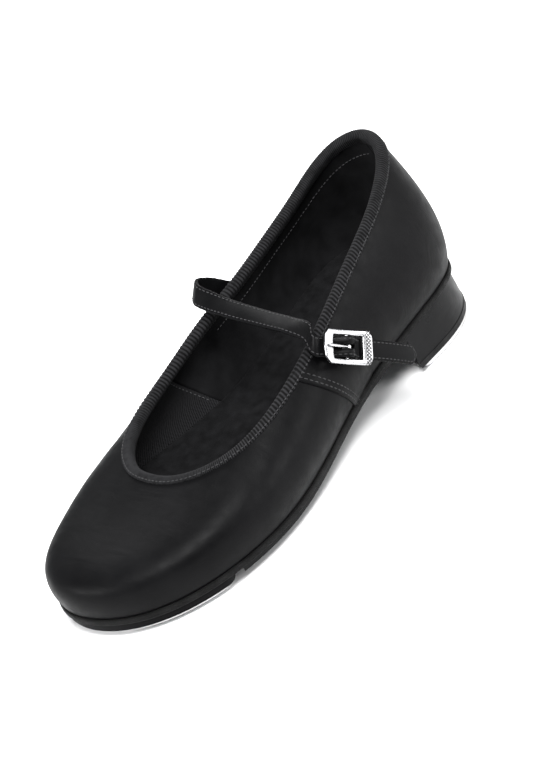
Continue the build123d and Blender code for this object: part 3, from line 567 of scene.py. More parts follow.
def buckle_metal(name, settings):
    """Bright metal with a fine engraved lattice on the rear end of the buckle, its grooves darkened by
    painted shade.
    """
    made = satin_metal(name, settings.buckle_colour, settings.buckle_roughness, (1, 1, 1), 0.15)
    along = made.nodes.new("ShaderNodeUVMap")
    along.uv_map = "surface"
    split = made.nodes.new("ShaderNodeSeparateXYZ")
    made.links.new(along.outputs["UV"], split.inputs[0])
    half = FRAME_LENGTH / 2
    mask = made.span(split.outputs["X"], 0, 1, half - 3.3, half - 2.9)
    edge = made.span(split.outputs["X"], 1, 0, half - 0.9, half - 0.6)
    zone = made.maths("MULTIPLY", mask, edge)
    space = made.mapped("UV", (1.0, 1.0, 1), (0, 0, pi / 4))
    lattice = made.maths("MULTIPLY", made.bands(space, 0.3, "X"), made.bands(space, 0.3, "Y"))
    engraved = made.maths("MULTIPLY", made.span(lattice, 1, 0, 0.1, 0.45), zone)
    # Painted shade: the engraved grooves are darkened to a sixth of the metal colour.
    dark = tuple(c * 0.16 for c in made.colour)
    made.links.new(made.ramp(engraved, [(0.2, made.colour), (0.8, dark)]), made.shader.inputs["Base Color"])
    made.bump(engraved, -0.0004, 0.9)
    return made.material


def thread(name, colour):
    """Twisted sewing thread."""
    made = Finish(name, colour, 0.6)
    made.put(Sheen_Weight=0.1, Sheen_Roughness=0.4, Specular_IOR_Level=0.25)
    space = made.mapped("Object", (1, 1, 1))
    made.shade(made.noise(space, 2500, 3), 0.6, 1.8)
    made.bump(made.noise(space, 6000, 2), 0.00005, 0.6)
    return made.material


# ---- sizes and colours that can be changed ----
class UpperSettings(PropertyGroup):
    colour: FloatVectorProperty(name="Leather colour", description="Colour of the leather", subtype="COLOR",
                                default=(0.0032, 0.0032, 0.0035), min=0, max=1)
    roughness: FloatProperty(name="Leather roughness", description="Mean roughness of the leather",
                             default=0.42, min=0, max=1, subtype="FACTOR")
    grain: FloatProperty(name="Grain", description="Leather cells in a millimetre", default=1.35, min=0.2)
    creases: FloatProperty(name="Creases", description="Strength of the soft creases", default=0.13,
                           min=0, max=1, subtype="FACTOR")
    tape_colour: FloatVectorProperty(name="Tape colour", description="Colour of the ribbed tape",
                                     subtype="COLOR", default=(0.006, 0.006, 0.0064), min=0, max=1)
    suede_colour: FloatVectorProperty(name="Suede colour", description="Colour of the quarter linings",
                                      subtype="COLOR", default=(0.0075, 0.0075, 0.008), min=0, max=1)
    mesh_colour: FloatVectorProperty(name="Mesh colour", description="Colour of the vamp lining",
                                     subtype="COLOR", default=(0.008, 0.008, 0.0085), min=0, max=1)
    mesh_pitch: FloatProperty(name="Mesh pitch", description="Distance between holes of the vamp lining",
                              default=0.0011, unit="LENGTH", min=0.0004, precision=5)
    sock_colour: FloatVectorProperty(name="Sock colour", description="Colour of the insole sock",
                                     subtype="COLOR", default=(0.0065, 0.0065, 0.007), min=0, max=1)
    rib_pitch: FloatProperty(name="Rib pitch", description="Distance between ribs of the binding",
                             default=0.0011, unit="LENGTH", min=0.0004, precision=5)


class ThreadSettings(PropertyGroup):
    colour: FloatVectorProperty(name="Thread colour", description="Colour of the thread", subtype="COLOR",
                                default=(0.022, 0.022, 0.023), min=0, max=1)
    stitch: FloatProperty(name="Stitch length", description="Length of one stitch", default=0.0016,
                          unit="LENGTH", min=0.0005, precision=5)
    gap: FloatProperty(name="Stitch gap", description="Gap between stitches", default=0.0007,
                       unit="LENGTH", min=0.0001, precision=5)
    radius: FloatProperty(name="Thread radius", description="Half the thickness of the thread",
                          default=0.00024, unit="LENGTH", min=0.00005, precision=5)


class SoleSettings(PropertyGroup):
    colour: FloatVectorProperty(name="Rubber colour", description="Colour of the sole rubber",
                                subtype="COLOR", default=(0.0055, 0.0055, 0.0055), min=0, max=1)
    tread_pitch: FloatProperty(name="Tread pitch", description="Distance between tread studs",
                               default=0.0023, unit="LENGTH", min=0.001, precision=5)
    tread_height: FloatProperty(name="Tread height", description="Height of a tread stud",
                                default=0.0007, unit="LENGTH", min=0.0002, precision=5)


class MetalSettings(PropertyGroup):
    tap_colour: FloatVectorProperty(name="Tap colour", description="Colour of the taps", subtype="COLOR",
                                    default=(0.66, 0.66, 0.67), min=0, max=1)
    tap_roughness: FloatProperty(name="Tap roughness", description="Mean roughness of the taps",
                                 default=0.34, min=0, max=1, subtype="FACTOR")
    buckle_colour: FloatVectorProperty(name="Buckle colour", description="Colour of the buckle",
                                       subtype="COLOR", default=(0.50, 0.50, 0.51), min=0, max=1)
    buckle_roughness: FloatProperty(name="Buckle roughness", description="Mean roughness of the buckle",
                                    default=0.24, min=0, max=1, subtype="FACTOR")


class StageSettings(PropertyGroup):
    floor_colour: FloatVectorProperty(name="Floor colour", description="Colour of the floor",
                                      subtype="COLOR", default=(0.93, 0.93, 0.93), min=0, max=1)
    lens: FloatProperty(name="Lens", description="Focal length of the camera in millimetres",
                        default=244.7, min=20)
    key_power: FloatProperty(name="Key light", description="Power of the main softbox", default=30.0,
                             unit="POWER", min=0)


def material(name, make, *args, **kwargs):
    """The named material, made the first time that it is asked for."""
    if name not in MATERIALS:
        MATERIALS[name] = make(name, *args, **kwargs)
    return MATERIALS[name]


def upper_leather(scene):
    """Leather of the vamp and the quarters."""
    return material("black_upper_leather", leather, scene.shoe_upper)


# ---- repeated details, by geometry nodes ----
def socket_id(tree, name):
    """Identifier of the input of a tree with this name."""
    for item in tree.interface.items_tree:
        if item.item_type == "SOCKET" and item.in_out == "INPUT" and item.name == name:
            return item.identifier
    raise RuntimeError(f"the tree {tree.name} has no input {name}")


def new_tree(name, inputs):
    """Empty tree with its named inputs, and its two end nodes."""
    tree = bpy.data.node_groups.new(name, "GeometryNodeTree")
    tree.interface.new_socket("Geometry", in_out="INPUT", socket_type="NodeSocketGeometry")
    for label, kind in inputs:
        tree.interface.new_socket(label, in_out="INPUT", socket_type=kind)
    tree.interface.new_socket("Geometry", in_out="OUTPUT", socket_type="NodeSocketGeometry")
    return tree, tree.nodes.new("NodeGroupInput"), tree.nodes.new("NodeGroupOutput")


def close_tree(tree, source, geometry, output):
    """Ends a tree in realized instances with their material."""
    realize = tree.nodes.new("GeometryNodeRealizeInstances")
    paint = tree.nodes.new("GeometryNodeSetMaterial")
    tree.links.new(geometry, realize.inputs["Geometry"])
    tree.links.new(realize.outputs["Geometry"], paint.inputs["Geometry"])
    tree.links.new(source.outputs["Material"], paint.inputs["Material"])
    tree.links.new(paint.outputs["Geometry"], output.inputs["Geometry"])
    return tree


def stitch_tree():
    """Stitches along every curve: one drawn-out bead of thread at each pitch."""
    name = "Stitch Run"
    if name in bpy.data.node_groups:
        return bpy.data.node_groups[name]
    kinds = [("Pitch", "NodeSocketFloat"), ("Stitch", "NodeSocketFloat"), ("Radius", "NodeSocketFloat"),
             ("Material", "NodeSocketMaterial")]
    tree, source, output = new_tree(name, kinds)
    spread = tree.nodes.new("GeometryNodeCurveToPoints")
    spread.mode = "LENGTH"
    bead = tree.nodes.new("GeometryNodeMeshUVSphere")
    bead.inputs["Segments"].default_value = 6
    bead.inputs["Rings"].default_value = 5
    bead.inputs["Radius"].default_value = 1.0
    smooth = tree.nodes.new("GeometryNodeSetShadeSmooth")
    half = tree.nodes.new("ShaderNodeMath")
    half.operation = "MULTIPLY"
    half.inputs[1].default_value = 0.5
    size = tree.nodes.new("ShaderNodeCombineXYZ")
    place = tree.nodes.new("GeometryNodeInstanceOnPoints")
    link = tree.links.new
    link(source.outputs["Geometry"], spread.inputs["Curve"])
    link(source.outputs["Pitch"], spread.inputs["Length"])
    link(source.outputs["Stitch"], half.inputs[0])
    link(source.outputs["Radius"], size.inputs["X"])
    link(source.outputs["Radius"], size.inputs["Y"])
    link(half.outputs["Value"], size.inputs["Z"])
    link(bead.outputs["Mesh"], smooth.inputs["Geometry"])
    link(spread.outputs["Points"], place.inputs["Points"])
    link(spread.outputs["Rotation"], place.inputs["Rotation"])
    link(smooth.outputs["Geometry"], place.inputs["Instance"])
    link(size.outputs["Vector"], place.inputs["Scale"])
    return close_tree(tree, source, place.outputs["Instances"], output)


def stud_tree():
    """Low four-sided stud on every point, tipped about the x axis by the point's tilt."""
    name = "Tread Studs"
    if name in bpy.data.node_groups:
        return bpy.data.node_groups[name]
    kinds = [("Pitch", "NodeSocketFloat"), ("Height", "NodeSocketFloat"),
             ("Material", "NodeSocketMaterial")]
    tree, source, output = new_tree(name, kinds)
    stud = tree.nodes.new("GeometryNodeMeshCone")
    stud.inputs["Vertices"].default_value = 4
    base = tree.nodes.new("ShaderNodeMath")
    base.operation = "MULTIPLY"
    base.inputs[1].default_value = 0.48
    crown = tree.nodes.new("ShaderNodeMath")
    crown.operation = "MULTIPLY"
    crown.inputs[1].default_value = 0.2
    tilt = tree.nodes.new("GeometryNodeInputNamedAttribute")
    tilt.data_type = "FLOAT"
    tilt.inputs["Name"].default_value = "tilt"
    angles = tree.nodes.new("ShaderNodeCombineXYZ")
    turn = tree.nodes.new("FunctionNodeEulerToRotation")
    place = tree.nodes.new("GeometryNodeInstanceOnPoints")
    place.inputs["Scale"].default_value = (1.35, 1.0, 1.0)
    link = tree.links.new
    link(source.outputs["Pitch"], base.inputs[0])
    link(source.outputs["Pitch"], crown.inputs[0])
    link(base.outputs["Value"], stud.inputs["Radius Bottom"])
    link(crown.outputs["Value"], stud.inputs["Radius Top"])
    link(source.outputs["Height"], stud.inputs["Depth"])
    link(tilt.outputs["Attribute"], angles.inputs["X"])
    link(angles.outputs["Vector"], turn.inputs["Euler"])
    link(source.outputs["Geometry"], place.inputs["Points"])
    link(stud.outputs["Mesh"], place.inputs["Instance"])
    link(turn.outputs["Rotation"], place.inputs["Rotation"])
    return close_tree(tree, source, place.outputs["Instances"], output)


def grown(obj, tree, values):
    """Plain mesh object that a tree gives from an object; the source object is removed."""
    modifier = obj.modifiers.new(tree.name, "NODES")
    modifier.node_group = tree
    for label, value in values.items():
        modifier[socket_id(tree, label)] = value
    bpy.context.view_layer.update()
    ready = obj.evaluated_get(bpy.context.evaluated_depsgraph_get())
    mesh = bpy.data.meshes.new_from_object(ready)
    name = obj.name
    bpy.data.objects.remove(obj)
    result = bpy.data.objects.new(name, mesh)
    bpy.context.scene.collection.objects.link(result)
    return result


def stitches(name, runs, scene, body, scale=1.0, colour=None):
    """Stitch lines through rows of points on the last."""
    settings = scene.shoe_thread
    curve = bpy.data.curves.new(name, "CURVE")
    curve.dimensions = "3D"
    for run in runs:
        points = placed(spaced(run, 1.0))
        spline = curve.splines.new("POLY")
        spline.points.add(len(points) - 1)
        spline.points.foreach_set("co", np.column_stack([points, np.ones(len(points))]).ravel())
    source = bpy.data.objects.new(name, curve)
    scene.collection.objects.link(source)
    paint = material("black_thread", thread, settings.colour) if colour is None else colour
    values = {"Pitch": (settings.stitch + settings.gap) * scale, "Stitch": settings.stitch * scale,
              "Radius": settings.radius * scale, "Material": paint}
    result = grown(source, stitch_tree(), values)
    if body:
        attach(result, body)
    return result


# ---- upper ----
def creased(points, place, share):
    """Leather pushed in and out a little where the foot bends."""
    around = np.exp(-((place - 6.9) / 0.9) ** 2) + 0.7 * np.exp(-((place - 15.4) / 0.9) ** 2)
    wave = np.sin(place * 9.0 + share * 3.0) * np.sin(share * pi) ** 2
    fine = np.sin(place * 21.0 - share * 9.0) * np.sin(share * pi)
    slack = np.sin(place * 3.1 + 5.0 * share) * np.sin(share * pi)
    amount = around * (0.13 * wave + 0.05 * fine) + 0.04 * slack
    return points + skin_normal(place, share) * amount[..., None]


def panel(name, begin, end, raised=0.0, raise_at=None):
    """Leather panel between two lines, each a station at the sole and a station at the rim."""
    across = np.linspace(0, 1, 161 if raise_at is None else 141)
    if raise_at is not None:
        across = 1 - (1 - across) ** 1.6 if raise_at == "end" else across**1.6
    share = np.linspace(0, 1, 49)[None, :]
    first = begin[0] + (begin[1] - begin[0]) * share
    last = end[0] + (end[1] - end[0]) * share
    place = first + (last - first) * across[:, None]
    share = np.broadcast_to(share, place.shape)
    lift = np.zeros_like(place)
    if raise_at is not None:
        gap = np.abs((last if raise_at == "end" else first) - place) * 26.0
        roll = np.sqrt(np.clip(1 - np.clip(1 - gap / 0.7, 0, 1) ** 2, 0, 1))
        lift = raised * roll * np.clip(1 - gap / 16.0, 0, 1) ** 0.6
    outer = creased(skin(place, share, 0.0), place, share) + skin_normal(place, share) * lift[..., None]
    inner = skin(place, share, LEATHER - 0.1)
    v = np.broadcast_to(lengths(outer[len(across) // 2])[None, :], place.shape)
    u = np.broadcast_to(lengths(outer[:, 24])[:, None], place.shape)
    return shell(name, outer, inner, np.stack([u, v], -1))


def build_upper(scene):
    """Vamp, with the folded edges of both quarters laid over it."""
    paint = upper_leather(scene)
    under = 0.18
    vamp = panel("vamp_leather", (SEAM_OUTER[0] - under, SEAM_OUTER[1] - under),
                 (SEAM_INNER[0] + under, SEAM_INNER[1] + under))
    finish(vamp, paint, "shoe", "black_leather", "vamp")
    outer = panel("quarter_lateral_leather", (0, 0), SEAM_OUTER, 0.9, "end")
    finish(outer, paint, "shoe", "black_leather", "quarter_lateral")
    inner = panel("quarter_medial_leather", SEAM_INNER, (STATIONS, STATIONS), 0.9, "start")
    finish(inner, paint, "shoe", "black_leather", "quarter_medial")


def lining_panel(name, begin, end):
    """Lining between two seams, a little slack."""
    share = np.linspace(0.03, 1, 41)[None, :]
    across = np.linspace(0, 1, 121)[:, None]
    first = begin[0] + (begin[1] - begin[0]) * share
    last = end[0] + (end[1] - end[0]) * share
    place = first + (last - first) * across
    share = np.broadcast_to(share, place.shape)
    ripple = 0.12 * np.sin(place * 13) * np.sin(share * 17) * np.sin(share * pi)
    face = skin(place, share, LINING_DEPTH + LINING) - skin_normal(place, share) * ripple[..., None]
    back = skin(place, share, LINING_DEPTH)
    v = np.broadcast_to(lengths(face[60])[None, :], place.shape)
    u = np.broadcast_to(lengths(face[:, 20])[:, None], place.shape)
    return shell(name, back, face, np.stack([u, v], -1) * MM)


def build_linings(scene):
    """Open mesh in the vamp and suede in the quarters."""
    settings = scene.shoe_upper
    soft = material("quarter_lining_suede", suede, settings.suede_colour)
    mesh = material("vamp_lining_mesh", open_mesh, settings.mesh_colour, settings.mesh_pitch)
    finish(lining_panel("lining_vamp", SEAM_OUTER, SEAM_INNER), mesh, "shoe", "mesh_lining", "vamp_lining")
    finish(lining_panel("lining_lateral", (0, 0), SEAM_OUTER), soft, "shoe", "suede_lining",
           "quarter_lining_lateral")
    finish(lining_panel("lining_medial", SEAM_INNER, (STATIONS, STATIONS)), soft, "shoe", "suede_lining",
           "quarter_lining_medial")


def binding_ring(count):
    """Stations round the collar, with the ways down the leather and out of it."""
    place = np.linspace(0, STATIONS, count, endpoint=False)
    rim = skin(place, np.ones(count))
    low = skin(place, np.full(count, 0.99))
    down = unit(low - rim)
    out = skin_normal(place, np.full(count, 0.995))
    return place, down, out


def build_binding(scene):
    """Ribbed tape folded over the collar."""
    pitch = scene.shoe_upper.rib_pitch / MM
    ring = skin(np.linspace(0, STATIONS, 400), np.ones(400))
    ribs = int(lengths(ring)[-1] / pitch)
    count = ribs * 4
    place, down, out = binding_ring(count)
    wave = 0.5 + 0.5 * np.cos(np.arange(count) * pi / 2)
    fuzz = 0.08 * np.sin(np.arange(count) * 0.37) + 0.06 * np.sin(np.arange(count) * 1.13)
    thick = (LINING_DEPTH + LINING) / 2 + 0.75
    outer_leg = [(BINDING_WIDTH, 1.0), (BINDING_WIDTH * 0.66, 1.04), (BINDING_WIDTH * 0.33, 1.06)]
    over_rim = [(0.4, 1.02), (-0.35, 0.78), (-0.8, 0.3), (-0.8, -0.3), (-0.35, -0.78), (0.4, -1.02)]
    inner_leg = [(BINDING_WIDTH * 0.33, -1.04), (BINDING_WIDTH * 0.66, -1.02), (BINDING_WIDTH, -0.98)]
    low_edge = [(BINDING_WIDTH + 0.1, -0.75), (BINDING_WIDTH + 0.1, 0.8)]
    sections = []
    for along, across in outer_leg + over_rim + inner_leg + low_edge:
        share = 1 - np.clip(along, 0, None) / np.array(lengths_of_profiles(place))
        base = skin(place, share, thick - 0.75)
        point = base + out * (across * (thick + 0.3 * (wave - 0.5)))[:, None]
        if along < 0:
            point = point - down * (0.1 * wave - along)[:, None]
        if along >= BINDING_WIDTH:
            point = point + down * fuzz[:, None]
        sections.append(point)
    sections = np.stack(sections, 1)
    tape = tube("collar_binding", sections, np.linspace(0, ribs, count), True)
    paint = material("binding_grosgrain", grosgrain, scene.shoe_upper.tape_colour)
    finish(tape, paint, "shoe", "grosgrain", "topline_binding")


def lengths_of_profiles(place):
    """Length of one share of the profile beside the rim, for each station."""
    near = skin(place, np.full(len(place), 0.97))
    rim = skin(place, np.ones(len(place)))
    return np.linalg.norm(rim - near, axis=1) / 0.03


def along_rim(depth_below, offset, begin=0.0, end=float(STATIONS), count=700, inside=False):
    """Row of points that follows the rim at a distance below it, off the leather or the lining."""
    place = np.linspace(begin, end, count)
    share = 1 - depth_below / lengths_of_profiles(place)
    depth = LINING_DEPTH + LINING if inside else 0.0
    side = -1 if inside else 1
    return skin(place, share, depth) + skin_normal(place, share) * offset * side


def seam_row(seam, shift, offset, low=0.02, high=0.93, inside=False):
    """Row of points beside a seam, from near the sole to near the rim."""
    share = np.linspace(low, high, 80)
    place = seam[0] + (seam[1] - seam[0]) * share + shift
    depth = LINING_DEPTH + LINING if inside else 0.0
    side = -1 if inside else 1
    return skin(place, share, depth) + skin_normal(place, share) * offset * side


def build_stitching(scene):
    """Stitches of the tape, the side and back seams, and the linings."""
    rows = [along_rim(BINDING_WIDTH - 0.9, 0.98)]
    done = stitches("binding_stitches", rows, scene, "shoe", 0.85)
    rows = [seam_row(seam, way * off * SEAM_STEP, lift)
            for seam, way in ((SEAM_OUTER, -1), (SEAM_INNER, 1))
            for off, lift in ((1, 0.95), (2.4, 0.9))]
    rows += [seam_row((0.045, 0.045), 0, 0.04), seam_row((STATIONS - 0.045, STATIONS - 0.045), 0, 0.04)]
    stitches("upper_stitches", rows, scene, "shoe")
    grey = material("lining_thread", thread, (0.06, 0.06, 0.062))
    rows = [along_rim(LINING_SEAM, 0.05, begin, end, 300, True)
            for begin, end in ((0.2, 4.6), (17.4, STATIONS - 0.2))]
    rows += [seam_row(seam, shift, 0.05, 0.3, 0.9, True)
             for seam, shift in ((SEAM_OUTER, 0.05), (SEAM_INNER, -0.05))]
    stitches("lining_stitches", rows, scene, "shoe", 0.8, grey)


# ---- inside and sole ----
def build_sock(scene):
    """Insole sock: dished a little, turned up against the lining all round."""
    place = np.linspace(0, STATIONS, 230, endpoint=False)
    share = np.linspace(0, 0.6, 241)
    wall = skin(place[:, None], share[None, :], LINING_DEPTH + LINING + 0.05)
    data = station(place)
    level = sole_top(data[:, 1]) + FOOTBED
    rings = []
    for height in (-0.6, 0.9, 0.7):
        index = np.argmin(np.abs(wall[..., 2] - (level + height)[:, None]), axis=1)
        rings.append(wall[np.arange(len(place)), index])
    spine = np.stack([np.zeros_like(place), -data[:, 2], sole_top(data[:, 2]) + FOOTBED], -1)
    top = [rings[0], rings[1]]
    for share_in in (0.03, 0.07, 0.13, 0.22, 0.34, 0.48, 0.64, 0.82, 1.0):
        point = rings[1] + (spine - rings[1]) * share_in
        dish = 0.9 * (1 - share_in) ** 3
        point[:, 2] = sole_top(-point[:, 1]) + FOOTBED - 0.1 + dish
        top.append(point)
    sections = np.stack(top, 1)
    rows, columns = sections.shape[:2]
    points = sections.reshape(-1, 3)
    faces = grid_faces(rows, columns, closed_rows=True)
    uv = points[:, :2] * MM
    sheet = mesh_object("footbed_sock", points, faces, uv)
    tidied(sheet)
    solid = sheet.modifiers.new("thickness", "SOLIDIFY")
    solid.thickness = 0.0006
    solid.offset = -1
    paint = material("sock_cloth", cloth, scene.shoe_upper.sock_colour, 900.0)
    finish(sheet, paint, "shoe", "sock_fabric", "insole_sock")


def build_rand(scene):
    """Textured band round the edge of the midsole."""
    count = 920
    place = np.linspace(0, STATIONS, count, endpoint=False)
    rings = []
    for inset, height in ((0.6, 0.15), (-0.45, 0.1), (-0.8, -0.35), (-0.85, -1.3),
                          (-0.8, -2.3), (-0.45, -2.75), (0.6, -2.8)):
        rings.append(edge_points(place, inset, height))
    sections = np.stack(rings, 1)
    band_length = lengths(sections[:, 3])
    band = tube("sole_rand", sections, band_length, True)
    layer = band.data.uv_layers["surface"]
    for loop in layer.data:
        loop.uv = (loop.uv[0] * MM, loop.uv[1] * 0.008)
    paint = material("rand_rubber", rubber, scene.shoe_sole.colour, 0.55, 0.0013)
    finish(band, paint, "shoe", "sole_rubber")


def inside_outline(points, outline):
    """Which points lie inside a closed outline, in plan."""
    x, y = points[:, 0], points[:, 1]
    found = np.zeros(len(points), dtype=bool)
    for a, b in zip(outline, np.roll(outline, -1, axis=0)):
        if a[1] == b[1]:
            continue
        crosses = (a[1] > y) != (b[1] > y)
        found ^= crosses & (x < (b[0] - a[0]) * (y - a[1]) / (b[1] - a[1]) + a[0])
    return found


def build_tread(scene):
    """Diamond tread under the rubber sole, between the tap board and the heel."""
    settings = scene.shoe_sole
    pitch = settings.tread_pitch / MM
    steps = np.arange(-90, 91)
    i, j = np.meshgrid(steps, steps)
    x = (i + j).ravel() * pitch / 2 * 1.35
    s = (i - j).ravel() * pitch / 2 + 90.0
    grid = np.stack([x, -s], -1)
    outline = edge_points(np.linspace(0, STATIONS, 300, endpoint=False), 2.0, 0)[:, :2]
    keep = inside_outline(grid, outline)
    front = np.hypot(x, s - (TOE_TIP - 43.0 + (61.0**2 - 39.0**2) ** 0.5)) > 61.0 + 1.6 + 4.2 + 1.2
    rear = np.hypot(x, s - (BREAST + (75.0**2 - 26.0**2) ** 0.5)) < 75.0 - 3.5
    keep &= front & rear & (s < 170)
    x, s = x[keep], s[keep]
    height = sole_top(s) - MIDSOLE - OUTSOLE + 0.05
    slope = sole_top(s + 0.5) - sole_top(s - 0.5)
    points = np.stack([x, -s, height], -1)
    mesh = bpy.data.meshes.new("tread_studs")
    mesh.from_pydata([tuple(point) for point in placed(points)], [], [])
    tilt = mesh.attributes.new("tilt", "FLOAT", "POINT")
    tilt.data.foreach_set("value", pi + np.arctan(slope))
    source = bpy.data.objects.new("tread_studs", mesh)
    scene.collection.objects.link(source)
    paint = material("tread_rubber_black", rubber, settings.colour, 0.5)
    values = {"Pitch": settings.tread_pitch, "Height": settings.tread_height, "Material": paint}
    studs = grown(source, stud_tree(), values)
    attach(studs, "shoe")


# ---- strap and buckle ----
def smooth_path(points, place):
    """Points along the curve that runs through a row of points, at places counted in points."""
    runs = np.linalg.norm(np.diff(points, axis=0), axis=1)
    slopes = np.diff(points, axis=0) / runs[:, None]
    turns = [slopes[0]]
    for i in range(1, len(slopes)):
        turns.append((slopes[i - 1] * runs[i] + slopes[i] * runs[i - 1]) / (runs[i] + runs[i - 1]))
    turns = np.array([*turns, slopes[-1]])
    i = np.minimum(place.astype(int), len(runs) - 1)
    t = (place - i)[:, None]
    run = runs[i][:, None]
    value = points[i] * (2 * t**3 - 3 * t**2 + 1) + turns[i] * run * (t**3 - 2 * t**2 + t)
    return value + points[i + 1] * (3 * t**2 - 2 * t**3) + turns[i + 1] * run * (t**3 - t**2)


def strap_rise(along):
    """Height of the middle of the strap over the bar."""
    reach = WINDOW_LENGTH / 2 - 0.7
    if abs(along) > reach:
        return STRAP_LOW
    return STRAP_LOW + (STRAP_HIGH - STRAP_LOW) * (1 + cos(pi * along / reach)) / 2


def strap_route():
    """Middle line of the strap and the way across it, from its sewn end to its tip."""
    route = []
    for place, share in SEWN_END:
        lift = STRAP_STANDOFF + STRAP_THICKNESS / 2
        point = skin(float(place), share) + skin_normal(np.array(float(place)), share) * lift
        route.append((point, np.array(SEWN_SIDE)))
    for place, x, s, z, side in STRAP_OVER:
        route.append((skin(float(place), 1.0) + np.array((x, -s, z)), np.array(side)))
    reach = FRAME_LENGTH / 2
    inner = WINDOW_LENGTH / 2
    half_way = (-reach - STRAP_LEAD, -reach, -inner - 1, -inner + 0.6, -inner / 2 + 0.3)
    for along in (*half_way, 0, *[-place for place in reversed(half_way[1:])]):
        route.append((at_buckle(along, strap_rise(along)), CROSS_WAY))
    start = reach + TAIL_START + 0.5
    for share in (0, 1 / 3, 2 / 3, 1):
        along = start + TAIL_LENGTH * share
        route.append((at_buckle(along, STRAP_LOW - TAIL_DROOP * share**2), CROSS_WAY))
    return route


def strap_frames(begin, end, count):
    """Middle, sideways and upward directions at places along the strap."""
    route = strap_route()
    points = np.array([point for point, _ in route])
    ways = unit(np.array([side for _, side in route]))
    place = np.linspace(begin, end, count)
    middle = smooth_path(points, place)
    ahead = smooth_path(points, np.minimum(place + 0.02, len(points) - 1))
    behind = smooth_path(points, np.maximum(place - 0.02, 0))
    forward = unit(ahead - behind)
    i = np.minimum(place.astype(int), len(points) - 2)
    t = (place - i)[:, None]
    side = unit(ways[i] * (1 - t) + ways[i + 1] * t)
    return middle, side, unit(np.cross(forward, side))


ROUND = [(cos(a), sin(a)) for a in np.linspace(0, 2 * pi, 24, endpoint=False)]


def band_mesh(name, begin, end, count, tip=False):
    """Folded leather band with full edges; tip rounds its far end."""
    middle, side, up = strap_frames(begin, end, count)
    distance = lengths(middle)
    width = np.full(count, STRAP_WIDTH / 2)
    if tip:
        left = distance[-1] - distance
        radius = STRAP_WIDTH / 2
        gone = np.clip(1 - left / radius, 0, 0.995)
        width = width * np.sqrt(1 - gone**2)
    width = width + 0.05 * np.sin(distance * 1.7) + 0.04 * np.sin(distance * 4.3)
    sections = []
    for a, b in ROUND:
        across = np.sign(a) * abs(a) ** 0.35
        height = np.sign(b) * abs(b) ** 0.55
        pillow = 1 - 0.22 * np.clip(abs(across) * 1.35 - 0.75, 0, 1) * (b > 0)
        groove = 0.10 * np.exp(-((abs(across) - 0.76) / 0.07) ** 2) * (b > 0)
        offset = side * (width * across)[:, None]
        rise = up * (STRAP_THICKNESS / 2 * height * pillow - groove)
        sections.append(middle + offset + rise)
    return tube(name, np.stack(sections, 1), distance, False)


def slotted(band):
    """The band with the slot that the prong of the buckle comes through."""
    corners = []
    for along in (-PRONG_SLOT[0], PRONG_SLOT[1]):
        for across in (-PRONG_SLOT[2], PRONG_SLOT[2]):
            for rise in (-6, 8):
                corners.append(at_buckle(along, rise, across))
    sides = [(0, 1, 3, 2), (4, 6, 7, 5), (0, 4, 5, 1), (2, 3, 7, 6), (0, 2, 6, 4), (1, 5, 7, 3)]
    cutter = tidied(mesh_object("slot_cutter", np.array(corners), sides))
    modifier = band.modifiers.new("slot", "BOOLEAN")
    modifier.operation = "DIFFERENCE"
    modifier.solver = "EXACT"
    modifier.object = cutter
    bpy.context.view_layer.update()
    ready = band.evaluated_get(bpy.context.evaluated_depsgraph_get())
    mesh = bpy.data.meshes.new_from_object(ready)
    band.modifiers.clear()
    band.data = mesh
    bpy.data.objects.remove(cutter)
    return band


def strap_row(begin, end, count, across, lift):
    """Row of points on the strap, off its middle line."""
    middle, side, up = strap_frames(begin, end, count)
    return middle + side * across + up * lift


def build_strap(scene):
    """Strap to under the front of the buckle, and its end."""
    paint = material("strap_leather", leather, scene.shoe_upper, 1.3, False)
    total = len(strap_route()) - 1
    divide = len(SEWN_END) + len(STRAP_OVER) + 1.6
    over = band_mesh("strap_over_instep", 0, divide, 330)
    finish(over, paint, "shoe", "black_leather", "strap")
    end = slotted(band_mesh("strap_end", divide, total, 300, True))
    finish(end, paint, None, "black_leather", "strap_tail")
    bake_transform(end)
    lift = STRAP_THICKNESS / 2 - 0.14
    inset = STRAP_WIDTH / 2 - 1.05
    rows = [strap_row(0.1, divide, 400, side, lift) for side in (-inset, inset)]
    box_middle, box_side, box_up = strap_frames(0.12, 0.9, 2)
    for k in range(2):
        ends = [box_middle[k] + box_side[k] * q * inset + box_up[k] * lift for q in (-1, 1)]
        rows.append(np.array(ends))
    stitches("strap_stitches", rows, scene, "shoe", 0.9)
    middle, side, up = strap_frames(divide, total, 300)
    distance = lengths(middle)
    left = distance[-1] - distance
    radius = STRAP_WIDTH / 2
    gone = np.clip((radius - left) / (radius - 0.9), 0, 1)
    keep = left > 1.0
    reach = inset * np.sqrt(1 - gone**2)
    one = (middle + side * reach[:, None] + up * lift)[keep]
    two = (middle - side * reach[:, None] + up * lift)[keep]
    run = np.concatenate([one, two[::-1]])
    tail = stitches("strap_end_stitches", [run], scene, None, 0.9)
    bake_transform(tail)


def rounded_outline(corners, radius, count):
    """Closed outline with rounded corners, as evenly spaced points."""
    corners = np.array(corners, dtype=float)
    points = []
    for before, here, after in zip(np.roll(corners, 1, axis=0), corners, np.roll(corners, -1, axis=0)):
        a, b = unit(before - here), unit(after - here)
        for t in np.linspace(0, 1, 7):
            points.append(here + a * radius * (1 - t) ** 2 + b * radius * t**2)
    points = np.array(points + [points[0]])
    distance = np.concatenate([[0], np.cumsum(np.linalg.norm(np.diff(points, axis=0), axis=1))])
    where = np.linspace(0, distance[-1], count, endpoint=False)
    return np.stack([np.interp(where, distance, points[:, k]) for k in range(2)], -1)


